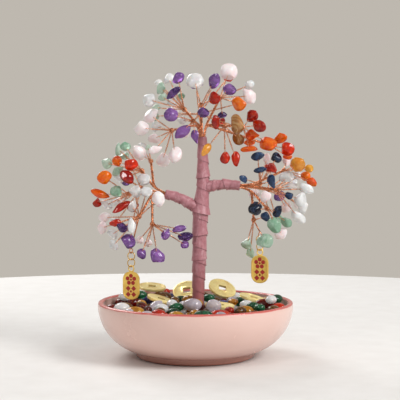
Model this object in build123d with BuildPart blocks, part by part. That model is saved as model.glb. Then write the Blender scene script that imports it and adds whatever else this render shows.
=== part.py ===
from build123d import *

import math
import os
import random

import numpy as np

# Gemstone tree ornament. Lengths in millimetres, angles in degrees.
# Origin on the bowl axis at the underside of the foot, +Z up, the front towards -Y.

# Bowl
bowl_diameter = 120.0
bowl_height = 33.5
bowl_wall = 3.2
belly_diameter = 104.0
belly_height = 12.1
foot_diameter = 73.0
foot_height = 3.2
foot_ring_width = 5.0
foot_recess = 1.1
floor_thickness = 4.0
rim_round = 1.3
foot_round = 0.8

# Plaster in the bowl
fill_top = 18.8
seat_gap = 0.15
trunk_foot_height = 9.0

# Places on the front view: rows and columns in pixels, scaled by the rise of the tree above the rim
tree_rise = 146.5
rim_row_pixel = 301.3
tip_row_pixel = 62.3
horizon_row_pixel = 158.6
view_column_pixel = 200.0
axis_column_pixel = 195.5
view_distance = 650.0
tree_half_depth = 30.0

# Trunk and limbs: wire bundle inside, paper tape in overlapping bands outside
trunk_core_diameter = 4.6
limb_core_diameter = 3.4
trunk_tape_diameter = 8.6
limb_tape_diameter = 6.4
tape_band_pitch = 9.5
tape_lip = 0.42
tape_band_lap = 1.1
tape_slant = 7.0
trunk_pixels = ((198, 297), (199, 270), (199.6, 245), (200, 226),
                (200.6, 210), (203.2, 188), (203, 165), (202.2, 137))
trunk_width_shares = (0.86, 0.97, 1.02, 1.05, 1.16, 0.93, 0.84, 0.68)
left_limb_pixels = ((200.6, 210), (191, 204.5), (180, 197.8), (165, 194))
right_limb_pixels = ((203.2, 188), (212, 185.6), (225, 184), (240, 186))
limb_width_shares = (1.12, 1.06, 1.0, 0.9)
left_limb_depth_shares = (0.0, -0.03, -0.06, -0.08)
right_limb_depth_shares = (0.0, -0.03, -0.05, -0.06)

# Boughs, knots and twigs of copper wire
bough_diameter = 1.9
bough_lead = 7.0
bough_back = 5.0
bough_start_gap = 0.75
bough_bend_radius = 14.0
knot_diameter = 3.6
wire_diameter = 0.4
strand_spread = 0.24
wire_gap = 0.12
loop_gap = 0.35
twig_neck = 1.3

# Gem chips
chip_length = 8.6
chip_width = 7.4
chip_thickness_share = 0.66
chip_lean = 24.0
drill_diameter = 0.72
drill_inset_share = 0.62
chip_spacing = 0.3

# Each spray: region, knot (column, row, depth share), and chips as
# (stone, column, row, length share, width share, tilt, depth share)
spray_pixels_and_shares = {
    "crown_left_high": ("crown", (184.3, 109.6, -0.15), [
        ("amethyst", 178.0, 78.3, 1.0, 0.95, 20, -0.35),
        ("clear_quartz", 168.9, 79.2, 0.9, 0.9, 60, 0.15),
        ("aventurine", 161.2, 88.7, 0.95, 0.78, 70, -0.05),
        ("clear_quartz", 158.6, 83.0, 0.6, 0.62, 0, 0.4),
        ("amethyst", 173.3, 93.1, 1.25, 0.68, 40, -0.45),
        ("clear_quartz", 149.4, 100.1, 1.07, 1.1, 80, -0.05),
        ("aventurine", 162.3, 97.4, 0.75, 0.7, 0, 0.25),
        ("clear_quartz", 171.5, 103.0, 0.7, 0.75, 0, 0.3),
        ("aventurine", 181.0, 96.5, 0.6, 0.6, 0, 0.3),
        ("aventurine", 156.4, 107.8, 0.65, 0.6, 0, 0.35),
    ]),
    "crown_front": ("crown", (193.0, 121.0, -0.3), [
        ("amethyst", 182.4, 132.0, 1.35, 0.92, 38, -0.5),
        ("amethyst", 195.3, 136.8, 1.08, 0.72, -80, -0.5),
        ("amethyst", 203.4, 112.6, 0.9, 0.88, 15, -0.5),
        ("amethyst", 171.1, 114.8, 1.07, 1.17, 0, -0.55),
        ("clear_quartz", 182.0, 120.3, 0.75, 0.75, 0, 0.1),
    ]),
    "crown_left_low": ("crown", (171.8, 130.5, -0.2), [
        ("rose_quartz", 151.3, 115.9, 1.35, 1.15, 20, 0.1),
        ("rose_quartz", 141.7, 128.3, 1.15, 1.25, 0, -0.1),
        ("clear_quartz", 156.4, 126.9, 0.95, 0.95, 0, 0.35),
        ("rose_quartz", 154.2, 138.6, 1.0, 0.9, 0, 0.15),
        ("rose_quartz", 155.3, 149.2, 1.1, 0.68, 30, -0.3),
        ("rose_quartz", 163.0, 159.9, 1.1, 1.25, 0, 0.05),
        ("rose_quartz", 175.1, 154.7, 1.25, 1.15, 80, -0.25),
    ]),
    "crown_mid": ("crown", (200.9, 105.5, -0.2), [
        ("clear_quartz", 194.9, 81.6, 1.35, 1.5, 45, 0.15),
        ("amethyst", 213.9, 81.3, 1.2, 1.0, 65, -0.4),
        ("carnelian", 214.4, 98.1, 0.95, 1.05, 70, -0.3),
    ]),
    "crown_right_high": ("crown", (220.2, 97.8, 0.05), [
        ("rose_quartz", 228.6, 72.3, 1.35, 1.5, 70, 0.15),
        ("amethyst", 229.6, 89.7, 1.03, 1.0, 10, -0.3),
        ("clear_quartz", 248.9, 85.4, 0.85, 0.75, 30, 0.05),
        ("rose_quartz", 248.9, 96.4, 1.4, 1.2, -30, 0.3),
        ("orange_carnelian", 238.4, 104.1, 1.2, 1.2, -20, -0.25),
        ("amethyst", 222.3, 115.0, 0.72, 0.6, 20, 0.2),
    ]),
    "crown_right_low": ("crown", (224.4, 125.9, -0.1), [
        ("carnelian", 215.6, 122.3, 1.07, 0.78, -75, -0.35),
        ("agate", 236.3, 124.0, 1.5, 1.22, -70, -0.4),
        ("agate", 238.4, 138.5, 1.05, 1.0, -70, 0.0),
        ("citrine", 205.8, 149.7, 1.15, 0.7, 50, -0.35),
        ("carnelian", 225.1, 157.8, 0.9, 0.88, 80, -0.15),
        ("carnelian", 235.9, 158.8, 1.12, 0.77, -85, -0.2),
    ]),
    "crown_right_mid": ("crown", (243.0, 127.0, 0.25), [
        ("carnelian", 251.7, 116.0, 1.07, 1.05, 30, -0.05),
        ("carnelian", 258.8, 125.9, 1.15, 1.0, -30, -0.2),
        ("orange_carnelian", 252.4, 135.0, 1.05, 1.05, 0, -0.1),
        ("orange_carnelian", 248.9, 142.6, 0.95, 0.6, 0, 0.35),
        ("orange_carnelian", 249.3, 149.0, 1.3, 0.58, 5, -0.1),
        ("orange_carnelian", 267.9, 143.7, 1.4, 1.25, -15, -0.25),
    ]),
    "crown_far_right": ("crown", (270.0, 145.5, 0.4), [
        ("orange_carnelian", 280.5, 138.2, 1.05, 0.92, 30, 0.0),
        ("carnelian", 287.2, 149.0, 1.1, 1.17, -20, -0.15),
        ("orange_carnelian", 287.5, 156.5, 0.7, 0.6, 0, 0.3),
    ]),
    "crown_back": ("crown", (199.0, 114.0, 0.5), [
        ("amethyst", 196.0, 84.0, 1.1, 1.1, 0, 0.75),
        ("clear_quartz", 214.5, 83.0, 0.95, 0.95, 60, 0.7),
        ("carnelian", 229.0, 76.5, 1.0, 1.0, 0, 0.7),
        ("rose_quartz", 173.0, 113.0, 1.1, 1.1, 10, 0.8),
        ("citrine", 238.0, 104.0, 1.0, 1.0, 30, 0.8),
        ("aventurine", 153.0, 116.5, 0.95, 0.95, 0, 0.7),
        ("orange_carnelian", 237.0, 127.0, 1.1, 1.0, 60, 0.8),
        ("rose_quartz", 184.0, 133.0, 1.0, 0.95, 30, 0.8),
        ("carnelian", 219.0, 121.0, 1.0, 0.9, 0, 0.9),
    ]),
    "left_high": ("left", (150.9, 161.1, 0.05), [
        ("rose_quartz", 139.4, 152.8, 1.35, 1.15, -40, -0.15),
        ("clear_quartz", 141.8, 146.8, 0.7, 0.75, 0, 0.3),
        ("aventurine", 148.4, 147.4, 0.52, 0.52, 0, 0.1),
    ]),
    "left_mid": ("left", (141.9, 170.9, -0.15), [
        ("aventurine", 118.8, 149.5, 1.1, 0.6, 80, -0.05),
        ("aventurine", 125.6, 146.3, 0.8, 0.78, 0, -0.25),
        ("aventurine", 124.0, 156.0, 0.8, 0.7, 0, 0.2),
        ("aventurine", 106.7, 163.3, 0.85, 1.0, 60, 0.1),
        ("orange_carnelian", 117.0, 161.1, 0.8, 0.85, 70, -0.05),
        ("carnelian", 131.1, 164.7, 1.05, 1.1, -20, -0.4),
        ("aventurine", 117.5, 170.9, 0.95, 0.72, 50, -0.15),
        ("carnelian", 127.3, 176.9, 1.2, 1.0, -35, -0.45),
        ("clear_quartz", 118.6, 179.0, 0.85, 0.75, 0, 0.25),
    ]),
    "left_out": ("left", (128.5, 194.0, -0.05), [
        ("clear_quartz", 143.6, 179.6, 1.05, 1.0, 20, -0.3),
        ("orange_carnelian", 104.5, 177.4, 1.1, 1.17, 0, -0.35),
        ("aventurine", 116.4, 191.6, 0.95, 1.05, 0, -0.3),
        ("orange_carnelian", 100.2, 194.2, 1.5, 0.7, -25, -0.2),
        ("carnelian", 97.0, 202.6, 0.7, 0.85, 0, 0.1),
        ("carnelian", 121.0, 206.7, 1.55, 0.66, 36, -0.5),
        ("clear_quartz", 106.7, 205.0, 0.95, 0.8, -30, 0.15),
        ("clear_quartz", 115.9, 202.3, 0.75, 0.65, 0, 0.3),
    ]),
    "left_low": ("left", (139.0, 216.7, -0.2), [
        ("clear_quartz", 134.6, 191.5, 1.0, 1.12, 0, -0.2),
        ("clear_quartz", 146.4, 192.0, 0.88, 0.9, 0, -0.45),
        ("rose_quartz", 158.2, 199.3, 1.18, 1.12, 80, -0.35),
        ("clear_quartz", 132.2, 206.1, 0.92, 0.8, 80, 0.1),
        ("rose_quartz", 104.6, 217.4, 1.05, 0.85, 10, 0.1),
        ("carnelian", 115.2, 223.0, 0.9, 0.66, 10, -0.3),
        ("amethyst", 121.8, 227.4, 0.85, 0.85, -30, -0.45),
        ("clear_quartz", 131.7, 225.6, 1.25, 0.68, 82, -0.6),
        ("rose_quartz", 101.8, 227.9, 0.95, 0.82, 70, -0.05),
        ("clear_quartz", 112.0, 234.6, 0.85, 0.88, 0, 0.1),
        ("clear_quartz", 113.4, 245.4, 0.9, 0.75, -70, -0.1),
        ("amethyst", 128.1, 241.4, 1.12, 1.28, 0, -0.45),
    ]),
    "left_inner": ("left", (152.3, 224.4, -0.25), [
        ("amethyst", 141.5, 254.2, 0.82, 0.83, -70, -0.35),
        ("amethyst", 157.2, 256.6, 1.25, 1.2, -60, -0.3),
        ("amethyst", 165.7, 234.2, 0.88, 0.78, 70, -0.35),
        ("amethyst", 179.0, 228.9, 1.12, 0.58, 10, -0.4),
        ("amethyst", 185.4, 236.8, 1.15, 0.8, 5, -0.25),
        ("amethyst", 184.8, 244.9, 0.65, 0.72, 60, -0.05),
        ("rose_quartz", 139.0, 240.3, 0.7, 0.75, 0, 0.3),
        ("rose_quartz", 147.8, 243.3, 0.7, 0.75, 0, 0.2),
    ]),
    "left_back": ("left", (141.0, 188.0, 0.45), [
        ("rose_quartz", 131.0, 166.0, 1.0, 1.0, 0, 0.8),
        ("clear_quartz", 118.5, 172.0, 0.95, 0.95, 0, 0.75),
        ("amethyst", 127.0, 180.0, 1.0, 1.0, 30, 0.95),
        ("rose_quartz", 121.0, 203.0, 1.0, 1.0, 0, 0.75),
        ("carnelian", 133.0, 207.0, 1.0, 0.9, 40, 0.9),
        ("clear_quartz", 116.0, 222.5, 1.0, 0.9, 0, 0.65),
        ("aventurine", 156.0, 200.0, 1.0, 1.0, 0, 0.75),
        ("amethyst", 131.0, 227.0, 1.0, 0.9, 20, 0.7),
    ]),
    "right_high": ("right", (259.8, 183.8, -0.15), [
        ("sodalite", 257.8, 156.4, 1.0, 0.75, 10, -0.3),
        ("sodalite", 276.5, 157.7, 0.82, 0.95, 0, -0.2),
        ("sodalite", 260.1, 169.8, 0.97, 0.58, 8, -0.5),
        ("carnelian", 271.5, 169.1, 0.85, 0.85, -30, -0.3),
        ("sodalite", 243.4, 178.8, 0.75, 0.6, -45, -0.4),
        ("rose_quartz", 266.8, 158.5, 0.95, 0.65, 90, 0.2),
        ("sodalite", 271.8, 181.4, 1.08, 0.82, -75, -0.45),
    ]),
    "right_out": ("right", (276.0, 190.0, -0.05), [
        ("clear_quartz", 286.6, 176.8, 1.2, 0.95, 10, 0.05),
        ("clear_quartz", 298.2, 176.8, 0.8, 0.8, 0, 0.2),
        ("clear_quartz", 306.2, 188.8, 1.2, 0.95, -35, -0.1),
        ("clear_quartz", 291.6, 185.6, 1.0, 0.66, 0, 0.3),
        ("sodalite", 288.9, 195.7, 0.68, 0.68, 0, -0.35),
        ("clear_quartz", 300.8, 199.8, 1.08, 1.1, 70, -0.15),
        ("clear_quartz", 303.2, 208.0, 0.95, 0.95, 70, 0.25),
        ("clear_quartz", 298.2, 217.2, 1.35, 0.85, -33, -0.15),
        ("rose_quartz", 285.5, 207.5, 0.95, 1.0, 0, 0.25),
    ]),
    "right_top": ("right", (284.0, 170.5, 0.2), [
        ("citrine", 297.9, 164.2, 1.1, 1.28, 0, -0.15),
        ("citrine", 309.0, 168.6, 0.67, 0.7, 0, 0.1),
        ("orange_carnelian", 305.6, 176.0, 0.75, 0.85, -60, 0.15),
        ("orange_carnelian", 311.8, 182.2, 0.85, 0.78, -40, 0.0),
        ("rose_quartz", 286.4, 161.0, 0.85, 0.7, 90, 0.45),
    ]),
    "right_low": ("right", (267.1, 208.6, -0.1), [
        ("sodalite", 255.1, 209.2, 1.05, 1.1, 0, -0.4),
        ("sodalite", 277.7, 211.6, 0.95, 0.8, 60, -0.35),
        ("aventurine", 286.6, 222.0, 1.0, 0.85, -45, -0.15),
        ("aventurine", 274.8, 225.4, 1.2, 1.17, -60, -0.4),
        ("rose_quartz", 281.4, 234.0, 1.07, 1.0, 20, 0.15),
        ("rose_quartz", 254.6, 193.6, 1.0, 0.92, 0, 0.6),
        ("rose_quartz", 265.6, 196.6, 0.95, 0.95, 70, -0.4),
    ]),
    "right_drop": ("right", (253.8, 220.0, 0.0), [
        ("sodalite", 265.4, 216.7, 0.72, 0.86, 0, -0.12),
        ("aventurine", 247.0, 243.6, 0.95, 1.0, 60, 0.1),
        ("aventurine", 250.4, 253.4, 1.0, 0.75, -80, 0.42),
        ("aventurine", 265.0, 241.4, 1.25, 1.3, 10, -0.5),
    ]),
    "right_back": ("right", (268.0, 190.0, 0.5), [
        ("carnelian", 271.0, 168.0, 1.0, 1.0, 0, 0.8),
        ("clear_quartz", 291.0, 180.0, 1.1, 1.0, 0, 0.8),
        ("sodalite", 256.0, 207.0, 1.0, 1.0, 0, 0.75),
        ("aventurine", 277.0, 221.0, 1.1, 1.0, 30, 0.7),
        ("citrine", 296.5, 166.5, 1.0, 1.0, 0, 0.7),
        ("rose_quartz", 300.0, 203.0, 1.05, 1.0, 40, 0.7),
        ("amethyst", 279.0, 196.0, 1.0, 1.0, 0, 0.95),
    ]),
}

# Tag chains: hanger eye, two rings and the tag's own eye, each turned about the upright axis
ring_wire_diameter = 0.6
upper_ring_diameter = 4.8
lower_ring_diameter = 5.0
hanger_wire_diameter = 0.55
hanger_eye_diameter = 2.9
hanger_stem_diameter = 0.8
tag_eye_diameter = 3.6
tag_eye_wire_diameter = 0.7
chain_gap = 0.12
hanger_turn = 54.0
upper_ring_turn = -26.0
lower_ring_turn = 34.0
tag_turn = -22.0
tag_width = 10.8
tag_length = 17.2
tag_thickness = 1.1
tag_corner_radius = 4.9
tag_border = 0.7
tag_border_rise = 0.2
enamel_depth = 0.3
enamel_gap = 0.04
petal_diameter = 2.6
petal_circle_diameter = 4.7
lozenge_side = 2.4
lozenge_circle_diameter = 5.2
motif_heart_diameter = 1.4
motif_spacing = 7.2
left_tag_pixels_and_share = (131.0, 268.9, -0.1)
right_tag_pixels_and_share = (260.1, 252.4, -0.05)

# Pebbles and coins in the bowl
pebble_length = 10.4
pebble_width = 8.7
pebble_thickness = 6.7
pebble_gap = 0.18
wall_gap = 0.35
bed_cell = 0.5
bed_stone_count = 104
filler_stone_count = 62
late_stone_count = 44
low_place_reach = 4.0
roll_reach = 3.0
mound_rise = 4.0
tag_swing_reach = 13.0
tag_swing_gap = 0.5
bed_stone_share = 0.93
bed_seed = 11
coin_diameter = 18.0
coin_thickness = 1.2
coin_hole = 4.8
coin_border = 1.3
coin_border_rise = 0.2

# Upper pebbles: (stone, across share, depth share, length share, width share, thickness share, turn, lean)
upper_pebble_shares = (
    ("clear_quartz", -0.83, -0.27, 0.95, 0.95, 0.95, 20, 6),
    ("clear_quartz", -0.84, 0.34, 0.8, 0.8, 0.8, 0, 0),
    ("garnet", -0.74, 0.2, 0.8, 0.8, 0.85, 30, 10),
    ("tiger_eye", -0.70, -0.06, 0.95, 0.9, 0.95, 0, 5),
    ("green_agate", -0.62, 0.24, 0.9, 0.8, 0.8, 20, 0),
    ("amber_agate", -0.58, -0.36, 1.1, 0.95, 0.9, 10, 6),
    ("white_agate", -0.48, -0.14, 1.05, 0.7, 0.85, 50, 35),
    ("clear_quartz", -0.36, -0.38, 0.85, 0.85, 0.9, 0, 0),
    ("carnelian", -0.30, -0.60, 0.9, 0.8, 0.8, 15, 0),
    ("amber_agate", -0.14, -0.58, 1.0, 0.85, 0.85, -10, 4),
    ("green_agate", -0.20, -0.30, 0.9, 0.75, 0.8, 10, 0),
    ("white_agate", -0.03, -0.28, 1.1, 1.05, 1.15, 0, 10),
    ("green_agate", 0.03, -0.62, 1.1, 0.85, 0.8, 0, 0),
    ("green_agate", -0.22, 0.30, 0.9, 0.8, 0.9, 40, 0),
    ("amber_agate", -0.12, 0.16, 0.95, 0.85, 0.95, -20, 6),
    ("tiger_eye", -0.31, 0.44, 1.0, 0.95, 1.0, 10, 8),
    ("lapis", -0.48, 0.46, 0.8, 0.7, 0.8, 0, 0),
    ("white_agate", 0.14, -0.36, 0.9, 0.9, 1.2, 0, 30),
    ("carnelian", 0.31, -0.52, 1.2, 0.95, 0.9, 8, 0),
    ("amber_agate", 0.47, -0.36, 1.05, 0.95, 0.95, -12, 6),
    ("clear_quartz", 0.50, 0.02, 0.85, 0.8, 0.85, 0, 0),
    ("garnet", 0.62, -0.48, 1.0, 0.8, 0.8, 14, 0),
    ("garnet", 0.70, -0.10, 1.25, 1.0, 0.95, 5, 4),
    ("green_agate", 0.42, 0.30, 0.95, 0.85, 0.9, 30, 6),
    ("tiger_eye", 0.16, 0.34, 0.8, 0.8, 0.85, 0, 0),
    ("lapis", 0.30, 0.10, 0.8, 0.75, 0.75, 0, 0),
    ("green_agate", 0.85, 0.24, 0.9, 0.8, 0.85, 60, 0),
    ("clear_quartz", 0.86, -0.18, 0.95, 0.8, 0.8, 80, 0),
    ("carnelian", 0.72, 0.46, 0.85, 0.8, 0.85, 0, 0),
    ("white_agate", 0.60, 0.62, 0.95, 0.8, 0.85, 20, 0),
    ("lapis", -0.25, 0.72, 0.85, 0.75, 0.85, 0, 0),
    ("green_agate", 0.42, 0.72, 0.85, 0.75, 0.85, 0, 0),
    ("clear_quartz", -0.62, 0.55, 0.9, 0.85, 0.9, 0, 0),
    ("white_agate", -0.55, -0.66, 0.85, 0.8, 0.8, 30, 0),
    ("amber_agate", 0.46, -0.70, 0.85, 0.75, 0.8, -20, 0),
    ("tiger_eye", 0.02, 0.80, 0.9, 0.85, 0.9, 0, 0),
    ("amber_agate", -0.46, 0.72, 0.9, 0.8, 0.85, 30, 0),
    ("garnet", 0.22, 0.66, 0.85, 0.8, 0.85, 0, 0),
    ("clear_quartz", 0.15, -0.80, 0.85, 0.75, 0.8, 0, 0),
    ("green_agate", -0.12, -0.82, 0.8, 0.75, 0.8, 0, 0),
    ("carnelian", -0.42, -0.78, 0.85, 0.8, 0.8, -30, 0),
)
bed_stone_names = ("white_agate", "green_agate", "amber_agate", "tiger_eye", "carnelian",
                   "clear_quartz", "garnet", "white_agate", "green_agate", "amber_agate", "tiger_eye")
# Coins: (across share, depth share, roll to the right, pitch to the front)
# The low ones lie under the upper pebbles
low_coin_shares_and_angles = (
    (-0.38, 0.18, 17, 4),
    (0.64, 0.20, 15, 4),
    (0.26, -0.14, 4, 3),
)
top_coin_shares_and_angles = (
    (-0.50, 0.62, 4, 8),
    (-0.10, 0.50, -8, 34),
    (0.30, 0.48, 18, 30),
)

# Derived sizes
bowl_radius = bowl_diameter / 2
belly_radius = belly_diameter / 2
foot_radius = foot_diameter / 2
floor_top = foot_recess + floor_thickness
pixel_size = tree_rise / (rim_row_pixel - tip_row_pixel)
wire_radius = wire_diameter / 2
knot_radius = knot_diameter / 2
bough_radius = bough_diameter / 2
trunk_core_radius = trunk_core_diameter / 2
limb_core_radius = limb_core_diameter / 2
trunk_tape_radius = trunk_tape_diameter / 2
limb_tape_radius = limb_tape_diameter / 2
forward = Vector(0, -1, 0)

os.makedirs("parts", exist_ok=True)


def photo_point(column, row, depth_share):
    depth = depth_share * tree_half_depth
    reach = pixel_size * (1 + depth / view_distance)
    across = (view_column_pixel - axis_column_pixel) * pixel_size + (column - view_column_pixel) * reach
    eye_height = bowl_height + (rim_row_pixel - horizon_row_pixel) * pixel_size
    return Vector(across, depth, eye_height - (row - horizon_row_pixel) * reach)


def finish(solids, label):
    if len(solids) == 1:
        made = solids[0]
        made.label = label
    else:
        made = Compound(label=label, children=list(solids))
    export_step(made, f"parts/{label}.step")
    return made


def bend_radii(points, largest):
    radii = []
    for before, corner, after in zip(points, points[1:], points[2:]):
        arriving = corner - before
        leaving = after - corner
        half_turn = math.radians(max(arriving.get_angle(leaving), 0.5)) / 2
        room = 0.45 * min(arriving.length, leaving.length)
        radii.append(min(largest, room / math.tan(half_turn)))
    return radii


def tube(points, radius, largest_bend):
    with BuildPart() as made:
        with BuildLine() as route:
            if len(points) == 2:
                Line(*points)
            else:
                FilletPolyline(*points, radius=bend_radii(points, largest_bend))
        with BuildSketch(Plane(origin=route.line @ 0, z_dir=route.line % 0)):
            Circle(radius)
        sweep()
    return made.part


def along(points, distance):
    left = distance
    for first, second in zip(points, points[1:]):
        run = second - first
        if left <= run.length or second is points[-1]:
            return first + run * (left / run.length), run.normalized()
        left -= run.length


def past_tip(points):
    # The same route with its last run carried on, so that a bore opens through a slanted end
    end_run = points[-1] - points[-2]
    return points[:-1] + [points[-1] + end_run.normalized() * tape_band_lap]


def path_length(points):
    return sum((second - first).length for first, second in zip(points, points[1:]))


def width_at(points, shares, distance):
    marks = [0.0]
    for first, second in zip(points, points[1:]):
        marks.append(marks[-1] + (second - first).length)
    return float(np.interp(distance, marks, shares))


def band_stack(points, shares, radius, grow):
    # Overlapping tape bands: each starts wide at its lower edge and narrows under the next one
    length = path_length(points)
    count = max(2, round(length / tape_band_pitch))
    pitch = length / count
    with BuildPart() as made:
        for index in range(count):
            low = index * pitch
            high = min(low + pitch + tape_band_lap, length)
            slant = tape_slant if index % 2 == 0 else -tape_slant
            for mark, lip, tilt in ((low, tape_lip, slant), (high, 0, -slant)):
                centre, heading = along(points, mark)
                side = heading.cross(forward).normalized()
                leaned = heading.rotate(Axis((0, 0, 0), forward), tilt if index else 0)
                across = side.cross(leaned).cross(leaned) * -1
                with BuildSketch(Plane(origin=centre, x_dir=across, z_dir=leaned)):
                    Circle(radius * width_at(points, shares, mark) + lip + grow)
            loft(ruled=True)
    return made.part


# Bowl
inner_rim_radius = bowl_radius - bowl_wall
inner_belly = (belly_radius - 0.75 * bowl_wall, belly_height + 0.66 * bowl_wall)
inner_foot = (foot_radius - bowl_wall, floor_top)
with BuildPart() as bowl:
    with BuildSketch(Plane.XZ):
        with BuildLine():
            Polyline((0, foot_recess), (foot_radius - foot_ring_width, foot_recess),
                     (foot_radius - foot_ring_width, 0), (foot_radius, 0), (foot_radius, foot_height))
            ThreePointArc((foot_radius, foot_height), (belly_radius, belly_height),
                          (bowl_radius, bowl_height))
            Line((bowl_radius, bowl_height), (inner_rim_radius, bowl_height))
            ThreePointArc((inner_rim_radius, bowl_height), inner_belly, inner_foot)
            Polyline(inner_foot, (0, floor_top), (0, foot_recess))
        make_face()
    revolve(axis=Axis.Z)
    rim_edges = bowl.edges().filter_by(GeomType.CIRCLE).group_by(Axis.Z)[-1]
    fillet(rim_edges, rim_round)
    foot_edges = bowl.edges().filter_by(GeomType.CIRCLE).group_by(Axis.Z)[0]
    fillet(foot_edges.sort_by(SortBy.RADIUS)[-1], foot_round)
bowl.part.label = "bowl"
export_step(bowl.part, "parts/bowl.step")


def circle_through(first, second, third):
    ax, ay = second[0] - first[0], second[1] - first[1]
    bx, by = third[0] - first[0], third[1] - first[1]
    turn = 2 * (ax * by - ay * bx)
    ux = (by * (ax * ax + ay * ay) - ay * (bx * bx + by * by)) / turn
    uy = (ax * (bx * bx + by * by) - bx * (ax * ax + ay * ay)) / turn
    return first[0] + ux, first[1] + uy, math.hypot(ux, uy)


wall_x, wall_z, wall_radius = circle_through((inner_rim_radius, bowl_height), inner_belly, inner_foot)


def wall_reach(height, gap):
    return wall_x + math.sqrt((wall_radius - gap) ** 2 - (height - wall_z) ** 2)


# Trunk and limb routes
trunk_route = [photo_point(column, row, 0) for column, row in trunk_pixels]
trunk_foot = Vector(trunk_route[0].X, trunk_route[0].Y, trunk_foot_height)
trunk_run = [trunk_foot] + trunk_route
trunk_shares = (trunk_width_shares[0],) + trunk_width_shares
left_limb = [photo_point(c, r, s) for (c, r), s in zip(left_limb_pixels, left_limb_depth_shares)]
right_limb = [photo_point(c, r, s) for (c, r), s in zip(right_limb_pixels, right_limb_depth_shares)]

# Plaster fill with a socket for the trunk
fill_low = floor_top + seat_gap
fill_mid = (fill_low + fill_top) / 2
with BuildPart() as plaster_fill:
    with BuildSketch(Plane.XZ):
        with BuildLine():
            low_point = (wall_reach(fill_low, seat_gap), fill_low)
            top_point = (wall_reach(fill_top, seat_gap), fill_top)
            ThreePointArc(low_point, (wall_reach(fill_mid, seat_gap), fill_mid), top_point)
            Polyline(top_point, (0, fill_top), (0, fill_low), low_point)
        make_face()
    revolve(axis=Axis.Z)
    with Locations((trunk_foot.X, trunk_foot.Y, trunk_foot_height - seat_gap)):
        socket_radius = trunk_tape_radius * trunk_width_shares[0] + tape_lip + seat_gap
        Cylinder(socket_radius, fill_top, align=(Align.CENTER, Align.CENTER, Align.MIN), mode=Mode.SUBTRACT)
plaster_fill.part.label = "plaster_fill"
export_step(plaster_fill.part, "parts/plaster_fill.step")

# Wire bundles and tape
trunk_core = tube(trunk_run, trunk_core_radius, bough_bend_radius)
trunk_core_room = tube(past_tip(trunk_run), trunk_core_radius + seat_gap, bough_bend_radius)
trunk_tape_outline = band_stack(trunk_run, trunk_shares, trunk_tape_radius, seat_gap)
limb_core_rooms = []
for side, route in (("left", left_limb), ("right", right_limb)):
    with BuildPart() as core:
        add(tube(route, limb_core_radius, bough_bend_radius))
        add(trunk_core_room, mode=Mode.SUBTRACT)
    finish([core.part.solids().sort_by(SortBy.VOLUME)[-1]], f"{side}_limb_wire_bundle")
    limb_core_rooms.append(tube(past_tip(route), limb_core_radius + seat_gap, bough_bend_radius))
    with BuildPart() as tape:
        add(band_stack(route, limb_width_shares, limb_tape_radius, 0))
        add(trunk_tape_outline, mode=Mode.SUBTRACT)
        add(limb_core_rooms[-1], mode=Mode.SUBTRACT)
    finish([tape.part.solids().sort_by(SortBy.VOLUME)[-1]], f"{side}_limb_tape")
finish([trunk_core.solids()[0]], "trunk_wire_bundle")
with BuildPart() as trunk_tape:
    add(band_stack(trunk_run, trunk_shares, trunk_tape_radius, 0))
    add(trunk_core_room, mode=Mode.SUBTRACT)
    for room in limb_core_rooms:
        add(room, mode=Mode.SUBTRACT)
finish([trunk_tape.part.solids().sort_by(SortBy.VOLUME)[-1]], "trunk_tape")

# Boughs from the limb ends to the knots
limb_ends = {"crown": trunk_route, "left": left_limb, "right": right_limb}
limb_end_radii = {"crown": trunk_core_radius, "left": limb_core_radius, "right": limb_core_radius}
knots = {name: photo_point(*spray[1]) for name, spray in spray_pixels_and_shares.items()}
bough_routes = {}
for name, (region, _, _) in spray_pixels_and_shares.items():
    tip = limb_ends[region][-1]
    heading = (tip - limb_ends[region][-2]).normalized()
    aim = knots[name] - tip
    sideways = aim - heading * aim.dot(heading)
    spread = sideways.normalized() * max(limb_end_radii[region] - bough_radius, 0)
    start = tip + heading * bough_start_gap + spread
    lead = min(bough_lead, 0.45 * aim.length)
    elbow = start + heading * lead + sideways.normalized() * (0.2 * lead) - forward * bough_back
    bough_routes[name] = [start, elbow, knots[name]]

# Tag chains
ring_radii = {"upper": upper_ring_diameter / 2, "lower": lower_ring_diameter / 2}
eye_drop = (tag_eye_wire_diameter + ring_wire_diameter) / 2 + chain_gap
ring_drop = ring_wire_diameter + chain_gap
hanger_drop = (hanger_wire_diameter + ring_wire_diameter) / 2 + chain_gap
tag_eye_radius = tag_eye_diameter / 2
hanger_eye_radius = hanger_eye_diameter / 2
chains = {}
for side, place, spray in (("left", left_tag_pixels_and_share, "left_low"),
                           ("right", right_tag_pixels_and_share, "right_drop")):
    eye = photo_point(*place)
    lower_foot = eye + Vector(0, 0, tag_eye_radius - eye_drop)
    lower_ring = lower_foot + Vector(0, 0, ring_radii["lower"])
    upper_foot = lower_ring + Vector(0, 0, ring_radii["lower"] - ring_drop)
    upper_ring = upper_foot + Vector(0, 0, ring_radii["upper"])
    hanger_foot = upper_ring + Vector(0, 0, ring_radii["upper"] - hanger_drop)
    hanger_eye = hanger_foot + Vector(0, 0, hanger_eye_radius)
    chains[side] = {"tag_eye": eye, "lower_foot": lower_foot, "lower_ring": lower_ring,
                    "upper_foot": upper_foot, "upper_ring": upper_ring, "hanger_foot": hanger_foot,
                    "hanger_eye": hanger_eye, "spray": spray}


# Chips settle in depth along the line of sight until they clear one another and the wires
def beads(first, last, radius):
    count = max(2, int((last - first).length / radius) + 1)
    return [(tuple(first + (last - first) * (i / (count - 1))), radius) for i in range(count)]


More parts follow.
